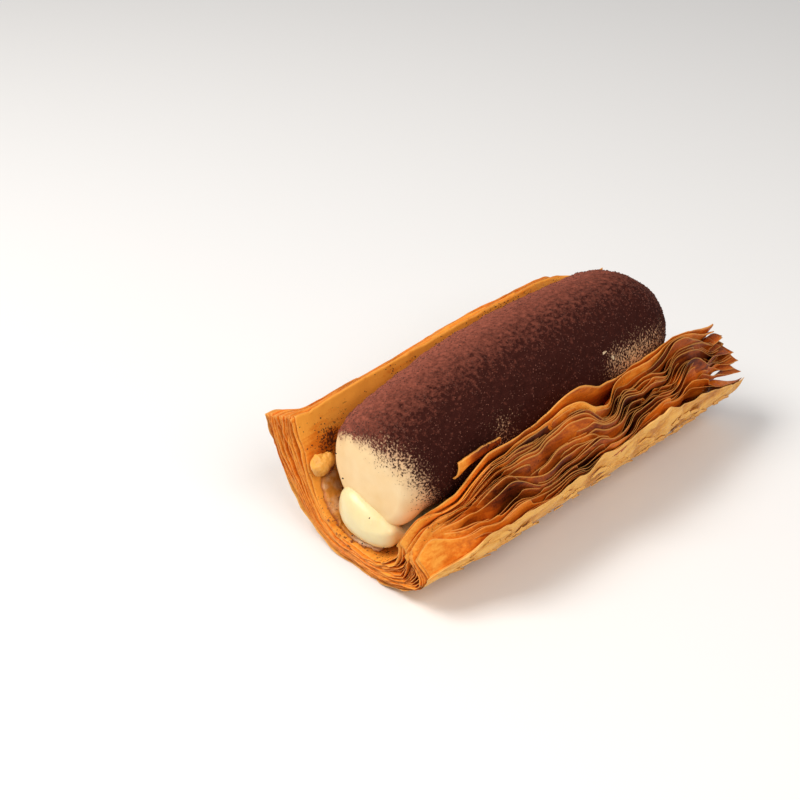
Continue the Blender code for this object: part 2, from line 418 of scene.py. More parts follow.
def dress(
    tree: bpy.types.NodeTree,
    shader: bpy.types.Node,
    colour: bpy.types.NodeSocket,
    height: bpy.types.NodeSocket,
    strength: float,
    deep_mm: float,
    fixed: dict,
) -> None:
    """Give the shader its colour, its fine relief and the values that are the same all over.

    Args:
        tree: node tree of the material.
        shader: its Principled shader.
        colour: base colour.
        height: 0..1 height of the fine relief.
        strength: share of the relief that is used.
        deep_mm: depth of a relief of 1, in millimetres.
        fixed: socket name to its constant value.
    """
    bump = add_node(
        tree, "ShaderNodeBump", None, {"Height": height, "Strength": strength, "Distance": deep_mm * MM}
    )
    tree.links.new(colour, shader.inputs["Base Color"])
    tree.links.new(bump.outputs["Normal"], shader.inputs["Normal"])
    for name, value in fixed.items():
        shader.inputs[name].default_value = value


@dataclass(frozen=True)
class BakedLeafFinish:
    """Puff pastry, laminated with butter and baked.

    Gold where it is dry and thin, amber to chestnut where the butter fried it,
    and darker still where painted shade lies between the fanned leaves and low
    beside the roll; paler crumb along each torn edge, and cocoa lying on what
    faces up.  The streaks run the way the sheet was rolled and the blisters are
    where steam lifted it.  The pores of the real leaf are finer than the grain
    here, which is drawn as coarse as it needs to show.
    """

    name: str = "baked_puff_pastry"
    pale: str = "#F6A23C"
    gold: str = "#E47B1C"
    amber: str = "#B4520F"
    chestnut: str = "#6A290C"
    char: str = "#2E0F06"
    crumb: str = "#E0A050"
    cocoa: str = "#43190F"
    streak_mm: tuple[float, float, float] = (7.0, 0.8, 0.8)
    grain_mm: float = 0.55
    blister_mm: float = 2.6
    edge_mm: float = 0.2
    edge_share: float = 0.6
    relief_mm: float = 0.35
    roughness: float = 0.46
    powder_roughness: float = 0.9
    ior: float = 1.45
    specular: float = 0.22

    def material(self) -> bpy.types.Material:
        """Build the node material; it reads the browning and painted shade, edge and dust of each corner.

        Returns:
            The material: browning and painted shade plus shares of three noises
            walks along a ramp from pale to char, the crumb shows up to edge_mm from an
            edge.
        """
        material, tree, shader = start_material(self.name)
        browning, edge, dust = (
            add_node(tree, "ShaderNodeAttribute", {"attribute_name": name}).outputs["Fac"]
            for name in ("browning", "edge", "dust")
        )
        sizes = (self.streak_mm, (self.blister_mm,) * 3, (self.grain_mm,) * 3)
        streak, blister, grain = (
            add_node(
                tree,
                "ShaderNodeTexNoise",
                None,
                {"Vector": millimetre_space(tree, size), "Scale": 1.0, "Detail": detail},
            ).outputs["Fac"]
            for size, detail in zip(sizes, (4.0, 3.0, 2.0))
        )
        level = browning
        for layer, share in ((streak, 0.55), (blister, 0.35), (grain, 0.22)):
            level = add_node(
                tree, "ShaderNodeMath", {"operation": "MULTIPLY_ADD"}, {0: layer, 1: share, 2: level}
            ).outputs[0]
        level = add_node(tree, "ShaderNodeMath", {"operation": "SUBTRACT"}, {0: level, 1: 0.5}).outputs[0]
        colours = (self.pale, self.gold, self.amber, self.chestnut, self.char)
        baked = add_node(
            tree,
            "ShaderNodeValToRGB",
            {"stops": tuple(zip((0.0, 0.22, 0.5, 0.78, 1.0), colours))},
            {"Fac": level},
        ).outputs["Color"]
        torn = add_node(
            tree,
            "ShaderNodeMapRange",
            {"interpolation_type": "SMOOTHSTEP"},
            {"Value": edge, "From Max": self.edge_mm, "To Min": self.edge_share, "To Max": 0.0},
        ).outputs["Result"]
        edged = add_node(
            tree,
            "ShaderNodeMix",
            {"data_type": "RGBA"},
            {"Factor": torn, "A": baked, "B": linear(self.crumb)},
        ).outputs["Result"]
        colour, powder = sieve(tree, dust, grain, (-0.08, 0.1), 0.9, edged, linear(self.cocoa))
        relief = add_node(
            tree, "ShaderNodeMath", {"operation": "MULTIPLY_ADD"}, {0: grain, 1: 0.35, 2: blister}
        ).outputs[0]
        rough = add_node(
            tree,
            "ShaderNodeMapRange",
            None,
            {"Value": powder, "To Min": self.roughness, "To Max": self.powder_roughness},
        ).outputs["Result"]
        tree.links.new(rough, shader.inputs["Roughness"])
        fixed = {"IOR": self.ior, "Specular IOR Level": self.specular}
        dress(tree, shader, colour, relief, 0.5, self.relief_mm, fixed)
        return material


@dataclass(frozen=True)
class DustedCreamFinish:
    """Whipped cream set firm and rolled, with cocoa powder sieved over it.

    Matt, clumped and dark red-brown where the powder is thick, with painted
    shade darker on the side towards the fanned arm and in the hollows between
    the clumps and painted light on their tops, freckled where it thins out,
    satin ivory where the cream is bare.  Real cocoa is a few hundredths of a
    millimetre; the clumps and freckles are drawn as coarse as they need to show.
    """

    name: str = "cocoa_dusted_whipped_cream"
    cocoa_painted_lit: str = "#B4644F"
    cocoa_painted_shaded: str = "#35120B"
    cream_light: str = "#F7DDB0"
    cream_dark: str = "#EBC285"
    film: str = "#B07A60"
    clump_mm: float = 1.1
    grain_mm: float = 0.42
    freckle_mm: float = 0.5
    streak_mm: float = 6.0
    relief_mm: float = 0.4
    cream_roughness: float = 0.42
    cocoa_roughness: float = 0.95
    ior: float = 1.42
    specular: float = 0.18

    def material(self) -> bpy.types.Material:
        """Build the node material; it reads the cover and painted side shade of each corner.

        Returns:
            The material: cocoa over cream that is stained by a brown film
            where the cocoa is thin; clumps and grain are lighter on top and
            darker in their hollows, which is painted light and shade.
        """
        material, tree, shader = start_material(self.name)
        cover, damp = (
            add_node(tree, "ShaderNodeAttribute", {"attribute_name": name}).outputs["Fac"]
            for name in ("cover", "damp")
        )
        sizes = (self.clump_mm, self.grain_mm, self.freckle_mm, self.streak_mm)
        clump, grain, freckle, streak = (
            add_node(
                tree,
                "ShaderNodeTexNoise",
                None,
                {"Vector": millimetre_space(tree, (size,) * 3), "Scale": 1.0, "Detail": detail},
            ).outputs["Fac"]
            for size, detail in zip(sizes, (3.0, 2.0, 1.5, 3.0))
        )
        height = add_node(
            tree, "ShaderNodeMath", {"operation": "MULTIPLY_ADD"}, {0: grain, 1: 0.5, 2: clump}
        ).outputs[0]
        # painted light and shade: clump tops lighter, hollows and the side towards the fanned arm darker
        even = add_node(
            tree, "ShaderNodeMath", {"operation": "MULTIPLY_ADD"}, {0: height, 1: 0.55, 2: 0.34}
        ).outputs[0]
        shade = add_node(
            tree, "ShaderNodeMath", {"operation": "MULTIPLY_ADD"}, {0: damp, 1: -0.46, 2: even}
        ).outputs[0]
        cocoa = add_node(
            tree,
            "ShaderNodeValToRGB",
            {"stops": ((0.35, self.cocoa_painted_shaded), (1.0, self.cocoa_painted_lit))},
            {"Fac": shade},
        ).outputs["Color"]
        stain = add_node(
            tree,
            "ShaderNodeMapRange",
            {"interpolation_type": "SMOOTHSTEP"},
            {"Value": cover, "From Min": 0.2, "From Max": 0.65, "To Max": 0.8},
        ).outputs["Result"]
        cream = linear(self.cream_light)
        for share, shade_of_cream in ((streak, self.cream_dark), (stain, self.film)):
            cream = add_node(
                tree,
                "ShaderNodeMix",
                {"data_type": "RGBA"},
                {"Factor": share, "A": cream, "B": linear(shade_of_cream)},
            ).outputs["Result"]
        colour, powder = sieve(tree, cover, freckle, (-0.1, 0.13), 1.0, cream, cocoa)
        relief = add_node(
            tree, "ShaderNodeMath", {"operation": "MULTIPLY"}, {0: height, 1: powder}
        ).outputs[0]
        rough = add_node(
            tree,
            "ShaderNodeMapRange",
            None,
            {"Value": powder, "To Min": self.cream_roughness, "To Max": self.cocoa_roughness},
        ).outputs["Result"]
        tree.links.new(rough, shader.inputs["Roughness"])
        fixed = {"IOR": self.ior, "Specular IOR Level": self.specular}
        dress(tree, shader, colour, relief, 0.9, self.relief_mm, fixed)
        return material


@dataclass(frozen=True)
class CustardFinish:
    """Egg custard or coffee cream, piped and set: smooth, moist, slightly see-through.

    Light passes a little way in, so the piped edge glows; what cocoa falls on
    it stays as brown specks.
    """

    name: str
    light: str
    dark: str
    cocoa: str = "#5E2C1A"
    mottle_mm: float = 3.0
    speck_mm: float = 0.5
    relief_mm: float = 0.3
    roughness: float = 0.3
    ior: float = 1.45
    scatter: float = 0.15
    scatter_mm: float = 2.0
    scatter_reach: tuple[float, float, float] = (0.9, 0.6, 0.25)

    def material(self) -> bpy.types.Material:
        """Build the node material; it reads the shade and dust of each corner.

        Returns:
            The material: light to dark by the shade plus a share of noise.
        """
        material, tree, shader = start_material(self.name)
        shade, dust = (
            add_node(tree, "ShaderNodeAttribute", {"attribute_name": name}).outputs["Fac"]
            for name in ("shade", "dust")
        )
        mottle, speck = (
            add_node(
                tree,
                "ShaderNodeTexNoise",
                None,
                {"Vector": millimetre_space(tree, (size,) * 3), "Scale": 1.0, "Detail": detail},
            ).outputs["Fac"]
            for size, detail in ((self.mottle_mm, 3.0), (self.speck_mm, 2.0))
        )
        tint = add_node(
            tree, "ShaderNodeMath", {"operation": "MULTIPLY_ADD"}, {0: mottle, 1: 0.4, 2: shade}
        ).outputs[0]
        base = add_node(
            tree,
            "ShaderNodeValToRGB",
            {"stops": ((0.15, self.light), (1.0, self.dark))},
            {"Fac": tint},
        ).outputs["Color"]
        colour, _ = sieve(tree, dust, speck, (-0.05, 0.08), 0.85, base, linear(self.cocoa))
        fixed = {
            "Roughness": self.roughness,
            "IOR": self.ior,
            "Subsurface Weight": self.scatter,
            "Subsurface Radius": self.scatter_reach,
            "Subsurface Scale": self.scatter_mm * MM,
        }
        dress(tree, shader, colour, mottle, 0.3, self.relief_mm, fixed)
        return material


@dataclass(frozen=True)
class BitFinish:
    """Small dry bits, cocoa, seeds, nut and crumb: matt, in two tones."""

    name: str
    light: str
    dark: str
    roughness: float = 0.8
    mottle_mm: float = 0.5

    def material(self) -> bpy.types.Material:
        """Build the node material.

        Returns:
            The material: dark to light by a noise of mottle_mm.
        """
        material, tree, shader = start_material(self.name)
        place = millimetre_space(tree, (self.mottle_mm,) * 3)
        mottle = add_node(
            tree, "ShaderNodeTexNoise", None, {"Vector": place, "Scale": 1.0, "Detail": 2.0}
        ).outputs["Fac"]
        colour = add_node(
            tree,
            "ShaderNodeValToRGB",
            {"stops": ((0.3, self.dark), (0.7, self.light))},
            {"Fac": mottle},
        ).outputs["Color"]
        tree.links.new(colour, shader.inputs["Base Color"])
        shader.inputs["Roughness"].default_value = self.roughness
        return material


# ------------------------------------------------------------------- pieces


@dataclass
class LeafStack:
    """The trough: leaves of dough that the butter baked apart, bent into a U.

    A section has two sides.  Each side of the inner and of the outer skin runs
    flat, then round an arc, then straight; the leaves lie between the skins.
    """

    near_x: float = -57.0
    far_x: float = 56.5
    floor_top: float = 6.5
    floor_dip: float = 1.3
    # flat half width, bend radius, bend angle in degrees
    inner_plain: tuple[float, float, float] = (2.0, 15.0, 72.0)
    outer_plain: tuple[float, float, float] = (3.7, 26.0, 75.0)
    inner_fanned: tuple[float, float, float] = (2.0, 12.0, 72.0)
    outer_fanned: tuple[float, float, float] = (5.9, 25.0, 80.0)
    outer_tuck: float = 2.4
    # length of a middling leaf up each arm
    fanned_run: float = 38.0
    plain_run: float = 42.0
    mean_run: float = 40.0
    # 0 is the innermost leaf, the last is the crust
    leaves: int = 26
    leaves_per_piece: int = 4
    stations: int = 214
    # rows of corners: the share of an arm that has the finer rows, and how many
    rim_share: float = 0.28
    rim_rows_fanned: int = 20
    rim_rows_plain: int = 16
    floor_rows: int = 19
    # a leaf fills a share of its pitch, up to its greatest thickness
    leaf_thick: float = 0.3
    rim_leaf_thick: float = 0.85
    crust_thick: float = 1.3
    pit_share: float = 0.75
    fill_fanned: float = 0.62
    fill_plain: float = 0.8
    # how unlike each other the pitches are, low in the trough and along the rims
    calm_spread: float = 0.5
    rim_spread: float = 1.35
    # leaves that tear into the same step of the rim
    bundle: float = 3.4
    # how far all the leaves wander between the skins, as a share of the wall, then in millimetres
    sway: float = 0.2
    fine_sway: float = 0.05
    flutter: float = 0.16
    heave: float = 0.8
    # innermost leaves that fried together into a thick lip along the fanned rim
    lip_leaves: int = 2
    # the leaf behind the gap that opens between the leaves at the far end
    open_leaf: int = 22
    open_pitch: float = 5.0
    crust_pitch: float = 3.8
    crust_refine: float = 1.5
    finish: BakedLeafFinish = BakedLeafFinish()
    crust_finish: BakedLeafFinish = BakedLeafFinish(
        name="blistered_pastry_crust", pale="#F0B45A", gold="#D9943E", amber="#AE6420", crumb="#EAB46C"
    )

    def floor_height(self, x: Numbers) -> np.ndarray:
        """Height of the inside floor, which dips towards the near end."""
        return self.floor_top - self.floor_dip * (1.0 - ease(x, self.near_x, -35.0))

    @staticmethod
    def walk(side: tuple, distance: Numbers, floor: Numbers) -> tuple[np.ndarray, np.ndarray]:
        """Follow one side of a section.

        Args:
            side: flat half width, bend radius, bend angle in degrees.
            distance: length walked from the middle of the floor.
            floor: height of the flat.

        Returns:
            How far across and how high: the flat, plus radius times the sine
            and one minus the cosine of the bend so far, plus what is left
            along the straight.
        """
        flat, radius, angle = side
        turn = math.radians(angle)
        bend = np.clip((distance - flat) / radius, 0.0, turn)
        beyond = np.maximum(distance - flat - radius * turn, 0.0)
        across = np.minimum(distance, flat) + radius * np.sin(bend) + beyond * math.cos(turn)
        up = floor + radius * (1.0 - np.cos(bend)) + beyond * math.sin(turn)
        return across, up

    @staticmethod
    def reach(x: Numbers, arm: Arm, face: Face) -> np.ndarray:
        """Length of the innermost or outermost leaf up one arm.

        Args:
            x: station along the pastry.
            arm: which wall.
            face: inner or outer skin.

        Returns:
            A base length plus swells, tears and falls, each an ease or a hump in x.
        """
        if arm is Arm.PLAIN and face is Face.INNER:
            swell = 1.8 * ease(x, -40.0, 5.0) - 5.5 * ease(x, 30.0, 56.0)
            return 38.6 + swell + 0.8 * (1.0 - ease(x, -57.0, -50.0))
        if arm is Arm.PLAIN:
            swell = 1.8 * ease(x, -20.0, 10.0) - 5.5 * ease(x, 40.0, 52.0)
            return 46.0 + swell + 3.0 * (1.0 - ease(x, -56.0, -48.0))
        if face is Face.INNER:
            torn = 10.0 * (1.0 - ease(x, -43.0, -34.0)) + 9.0 * (1.0 - ease(x, -59.5, -53.0))
            return 36.5 - torn + 6.0 * hump(x, -5.0, 8.0) - 5.0 * ease(x, 38.0, 57.0)
        torn = 8.0 * (1.0 - ease(x, -50.0, -43.0)) + 4.0 * (1.0 - ease(x, -58.0, -48.0))
        lap = 4.0 * ease(x, -10.0, -5.0) * (1.0 - ease(x, 18.0, 32.0))
        return 40.8 - torn + lap - 4.0 * ease(x, 35.0, 57.0)

    def point(
        self, x: Numbers, around: Numbers, depth: Numbers, slack: Numbers = 0.0
    ) -> np.ndarray:
        """Point inside the trough wall.

        Args:
            x: station along the pastry.
            around: -1 at the fanned rim, 0 at the floor, 1 at the plain rim.
            depth: 0 on the inner skin, 1 on the outer skin.
            slack: extra length of the leaf at this point.

        Returns:
            (..., 3) array: the inner and outer skins are walked by the same
            share of their own lengths, and the point lies between the two.
        """
        x, around, depth, slack = np.broadcast_arrays(x, around, depth, slack)
        share = np.abs(around)
        floor = self.floor_height(x)
        flat, radius, angle = self.outer_fanned
        tucked = (flat - self.outer_tuck * (1.0 - ease(x, self.near_x, -35.0)), radius, angle)
        across, up = {}, {}
        for arm, inner, outer in (
            (Arm.PLAIN, self.inner_plain, self.outer_plain),
            (Arm.FANNED, self.inner_fanned, tucked),
        ):
            y_in, z_in = self.walk(inner, share * self.reach(x, arm, Face.INNER) + slack, floor)
            y_out, z_out = self.walk(outer, share * self.reach(x, arm, Face.OUTER) + slack, 0.0)
            across[arm] = arm.value * mix(y_in, y_out, depth)
            up[arm] = mix(z_in, z_out, depth)
        plain = around >= 0.0
        y = np.where(plain, across[Arm.PLAIN], across[Arm.FANNED])
        z = np.where(plain, up[Arm.PLAIN], up[Arm.FANNED])
        return np.stack([x, y, z], axis=-1)

    def lattice(self, refine: float = 1.0) -> tuple[np.ndarray, np.ndarray]:
        """Around and along shares of the leaf grid, finer near the two rims.

        Args:
            refine: times as many rows and stations.

        Returns:
            A column of around shares and a row of along shares.
        """
        inner = 1.0 - self.rim_share
        fanned, floor, plain = (
            int(rows * refine) for rows in (self.rim_rows_fanned, self.floor_rows, self.rim_rows_plain)
        )
        around = np.concatenate(
            [
                np.linspace(-1.0, -inner, fanned, endpoint=False),
                np.linspace(-inner, inner, floor, endpoint=False),
                np.linspace(inner, 1.0, plain),
            ]
        )
        return around[:, None], np.linspace(0.0, 1.0, int(self.stations * refine))[None, :]

    def depths(self, x: Numbers, around: Numbers) -> np.ndarray:
        """Where each leaf starts between the two skins.

        Args:
            x: stations.
            around: shares round the section.

        Returns:
            (leaves + 1, ...) array from 0 to 1: the running sum of positive
            pitches, each e to the power of noise that is shared by
            neighbouring leaves and grows towards the rims, over their total.
        """
        x, around = np.broadcast_arrays(x, around)
        fanned = ease(-around, 0.1, 0.6)
        rim = ease(np.abs(around), 0.35, 0.95)
        spread = mix(self.calm_spread, self.rim_spread, rim * mix(0.55, 1.0, fanned))
        ruffled = fanned * (1.0 - ease(x, -50.0, -30.0))
        spread = spread * (1.0 + 0.3 * ruffled)
        run = around * self.mean_run
        pitches = []
        for number in range(self.leaves):
            wide = soft_noise([x / 20.0, run / 11.0, np.full(x.shape, number * 0.5)], 11)
            small = soft_noise([x / 7.5, run / 5.0, np.full(x.shape, number * 0.81)], 12)
            pitch = np.exp(spread * (1.6 * wide + 0.5 * small))
            if number < self.lip_leaves:
                pitch = pitch * mix(1.3, 2.6 - number, fanned * rim)
            if number == self.leaves - 1:
                pitch = pitch * self.crust_pitch
            if number == self.open_leaf:
                opened = ease(x, 42.0, 57.0) * ease(-around, 0.3, 0.8)
                pitch = pitch * (1.0 + self.open_pitch * opened)
            pitches.append(pitch)
        sums = np.cumsum(np.stack(pitches), axis=0)
        bounds = np.concatenate([np.zeros((1, *x.shape)), sums]) / sums[-1]
        sway = self.sway * rim * soft_noise([x / 16.0, run / 16.0], 13)
        sway = sway + self.fine_sway * rim * soft_noise([x / 7.0, run / 9.0], 14)
        return bounds + sway * 4.0 * bounds * (1.0 - bounds)

    def rim_slack(self, number: int, x: Numbers, around: Numbers) -> np.ndarray:
        """Ragged rim of one leaf.

        Args:
            number: leaf number.
            x: stations.
            around: shares round the section.

        Returns:
            Extra length, which fades with the fifth power away from the rim:
            noise, less torn notches, plus steps shared by a bundle of leaves.
        """
        x, around = np.broadcast_arrays(x, around)
        row = np.full(x.shape, number * 7.31)
        crust = number == self.leaves - 1
        lip = number < self.lip_leaves
        ragged = rough_noise([x / 12.0, row], 21, 3) + 0.12 * soft_noise([x / 1.7, row], 28)
        notch = ease(soft_noise([x / 9.0, row], 22), 0.32, 0.55)
        group = np.full(x.shape, math.floor(number / self.bundle) * 3.7)
        terrace = rough_noise([x / 17.0, group], 29, 2)
        step = scatter_value([np.array(number), np.array(5)], 23)
        fanned = 0.55 * ragged - 1.8 * notch + 2.6 * terrace + 0.9 * step
        if lip:
            fanned = 0.55 * ragged - 0.3 * notch + 0.5
        if crust:
            fanned = 0.75 * ragged - 0.5 * notch + 0.4 * soft_noise([x / 2.6, row], 30)
        plain = 0.4 * ragged - 0.35 * notch + 0.5 * step
        return np.abs(around) ** 5 * np.where(around < 0.0, fanned, plain)

    def end_edges(self, number: int, around: np.ndarray) -> tuple[np.ndarray, np.ndarray]:
        """Stations where one leaf starts and stops.

        Args:
            number: leaf number.
            around: shares round the section.

        Returns:
            The near and the far station of each share: both ragged by noise,
            the far one fanned out so that inner leaves stop short.
        """
        row = np.full(around.shape, number * 5.17)
        depth = number / (self.leaves - 1)
        step = float(scatter_value([np.array(number), np.array(9)], 24))
        near = self.near_x + 0.75 * rough_noise([around * 9.0, row], 25) + 0.45 * step
        near = near - 1.0 * depth * ease(around, 0.75, 1.0)
        far = self.far_x + 0.6 * rough_noise([around * 9.0, row], 26) + 0.3 * step
        fanned = ease(-around, 0.4, 1.0)
        tip = 1.3 + 1.6 * soft_noise([around * 6.0, row], 27) + 0.9 * step
        far = far + fanned * (tip - 3.2 * (1.0 - depth))
        return near, far

    def leaf(self, number: int, bounds: np.ndarray, refine: float = 1.0) -> tuple:
        """Make one leaf.

        Args:
            number: 0 for the innermost leaf.
            bounds: where every leaf starts, from depths(), on the same lattice.
            refine: times as many rows and stations.

        Returns:
            Corners, quads and the browning and painted shade, edge and dust of
            each corner.  A leaf fills a share of its pitch, flutters in the rest, and
            the outermost one is pitted from outside.
        """
        crust = number == self.leaves - 1
        around, along = self.lattice(refine)
        near, far = self.end_edges(number, around)
        x = mix(near, far, along)
        slack = self.rim_slack(number, x, around)
        skins = [self.point(x, around, depth, slack) for depth in (0.0, 1.0)]
        outward = skins[1] - skins[0]
        wall = np.linalg.norm(outward, axis=-1)
        outward = outward / wall[..., None]
        start, stop = bounds[number], bounds[number + 1]
        pitch = (stop - start) * wall
        fanned = ease(-around, 0.1, 0.6)
        rim = ease(np.abs(around), 0.4, 0.95)
        cap = mix(self.leaf_thick, self.rim_leaf_thick, fanned * rim * (number < self.lip_leaves))
        free_end = ease(np.minimum(along, 1.0 - along), -0.002, 0.02)
        free = np.minimum(ease(1.0 - np.abs(around), -0.004, 0.05), free_end)
        if crust:
            cap = self.crust_thick
        filled = mix(self.fill_plain, self.fill_fanned, fanned)
        thick = np.minimum(filled * pitch, cap) * mix(0.45, 1.0, free)
        middle = 0.5 * (start + stop) * wall
        if number == 0:
            middle = 0.5 * thick
        if crust:
            middle = wall - 0.5 * thick
        own = np.full(x.shape, number * 0.6)
        flutter = self.flutter * rim * soft_noise([x / 3.6, around * 9.0, own], 31)
        heave = self.heave * rim * soft_noise([x / 12.0, around * 4.0], 32)
        heave = heave * (1.0 - 0.5 * number / self.leaves)
        middle = middle + np.clip(flutter, -0.3 * pitch, 0.3 * pitch) + heave * fanned
        inner = skins[0] + outward * (middle - 0.5 * thick)[..., None]
        outer = skins[0] + outward * (middle + 0.5 * thick)[..., None]
        if crust:
            relief = np.minimum(self.crust_relief(outer), self.pit_share * thick)
            outer = outer - outward * relief[..., None]
        grids = [inner, outer]
        for grid in grids:
            grid[..., 2] = np.maximum(grid[..., 2], LOWEST_MM)
        corners, quads = slab(inner, outer)
        length = np.where(around < 0.0, self.fanned_run, self.plain_run)
        run = self.far_x - self.near_x
        edge = np.minimum((1.0 - np.abs(around)) * length, np.minimum(along, 1.0 - along) * run)
        tones = [self.browning(number, grid, around, face) for face, grid in zip(Face, grids)]
        dusts = [self.dust(number, grid, around, face) for face, grid in zip(Face, grids)]
        if crust:
            tones[1] = tones[1] + 0.5 * (relief - 0.35)
        values = {"browning": tones, "edge": [edge, edge], "dust": dusts}
        return corners, quads, {key: np.concatenate([v.ravel() for v in two]) for key, two in values.items()}

    @staticmethod
    def crust_relief(grid: np.ndarray) -> np.ndarray:
        """Depth of the pits and flake steps on the outside.

        Args:
            grid: points of the outer skin.

        Returns:
            Millimetres inwards: noise rounded to terraces, plus blisters.
        """
        x, y, z = (grid[..., i] for i in range(3))
        run = y + z
        height = 3.2 * rough_noise([x / 6.0, run / 3.6], 41, 4)
        whole = np.floor(height)
        terrace = whole + ease(height - whole, 0.36, 0.64)
        blister = rough_noise([x / 1.9, y / 1.9, z / 1.9], 42, 2)
        return np.clip(0.42 + 0.2 * terrace + 0.2 * blister, 0.0, 1.1)

    def browning(
        self, number: int, grid: np.ndarray, around: np.ndarray, face: Face
    ) -> np.ndarray:
        """How brown one skin of a leaf is, painted shade included, 0 pale to 1 char.

        Args:
            number: leaf number.
            grid: the skin's points.
            around: shares round the section.
            face: which skin.

        Returns:
            A tone per leaf, plus patches of 14 mm, plus browning and painted shade
            between the fanned leaves, plus painted shade low on the inner wall beside
            the roll; the outside crust stays pale gold.
        """
        x, y, z = (grid[..., i] for i in range(3))
        tone = 0.13 * scatter_value([np.array(number), np.array(3)], 51)
        patch = 0.16 * rough_noise([x / 14.0, (y + z) / 9.0], 52 + number, 3)
        patch = patch + 0.2 * ease(-around, 0.5, 0.8) * soft_noise([x / 9.0, y / 5.0, z / 5.0], 57)
        fanned = ease(-around, 0.25, 0.7)
        depth = number / (self.leaves - 1)
        outside = number == self.leaves - 1 and face is Face.OUTER
        inside = number == 0 and face is Face.INNER
        if outside:
            return 0.06 + 0.12 * rough_noise([x / 6.0, (y + z) / 5.0], 58, 3)
        if inside:
            smudge = ease(around, 0.3, 0.5) * hump(x, -47.0, 7.0) * hump(z, 23.5, 3.6)
            # painted shade: darker low on the inner wall where the roll rests against it
            painted_roll_shade = ease(around, 0.3, 0.5) * (1.0 - ease(z, 20.0, 30.0)) * ease(x, -46.0, -38.0)
            return 0.8 * patch + 0.06 * fanned + 0.35 * smudge + 0.2 * painted_roll_shade - 0.05
        # real browning and painted shade together, deep between the fanned leaves
        between = 0.44 * fanned * ease(x, -50.0, -30.0) * (1.0 - ease(depth, 0.86, 1.0))
        lip = 0.3 * fanned * (number < self.lip_leaves)
        return 0.1 + tone + patch + between - lip + 0.05 * ease(depth, 0.0, 0.3)

    def dust(self, number: int, grid: np.ndarray, around: np.ndarray, face: Face) -> np.ndarray:
        """How much sieved cocoa lies on one skin of a leaf, 0 to 1.

        Args:
            number: leaf number.
            grid: the skin's points.
            around: shares round the section.
            face: which skin.

        Returns:
            Heavy on the inner wall beside the roll, light on the fanned rim.
        """
        x, y, z = (grid[..., i] for i in range(3))
        depth = number / (self.leaves - 1)
        cloud = 0.16 * rough_noise([x / 6.0, y / 5.0, z / 5.0], 61, 3)
        if number == 0 and face is Face.INNER:
            plain = ease(around, 0.3, 0.5)
            low = 1.0 - ease(z, 23.0, 31.0)
            smudge = hump(x, -48.0, 6.0) * hump(z, 24.5, 3.5)
            level = 0.2 + 0.12 * low + 0.2 * smudge + 0.1 * ease(x, -35.0, 20.0)
            return mix(0.36, level, plain) + cloud
        fanned = ease(-around, 0.45, 0.85)
        return 0.08 + 0.22 * fanned * (1.0 - ease(depth, 0.35, 0.9)) + cloud * fanned

    def build(self) -> list[bpy.types.Object]:
        """Make every leaf, a few to a piece, in place of the plain trough.

        Returns:
            The pieces, from the inside out.
        """
        dough = self.finish.material()
        around, along = self.lattice()
        bounds = self.depths(mix(self.near_x, self.far_x, along), around)
        crust = self.leaves - 1
        pieces = []
        for first in range(0, crust, self.leaves_per_piece):
            skin = Skin()
            for number in range(first, min(first + self.leaves_per_piece, crust)):
                skin.add(*self.leaf(number, bounds))
            pieces.append(skin.write(f"pastry_leaves_{first // self.leaves_per_piece + 1}", dough))
        around, along = self.lattice(self.crust_refine)
        bounds = self.depths(mix(self.near_x, self.far_x, along), around)
        skin = Skin()
        skin.add(*self.leaf(crust, bounds, self.crust_refine))
        pieces.append(skin.write("pastry_crust_leaf", self.crust_finish.material()))
        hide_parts("pastry_shell")
        return pieces


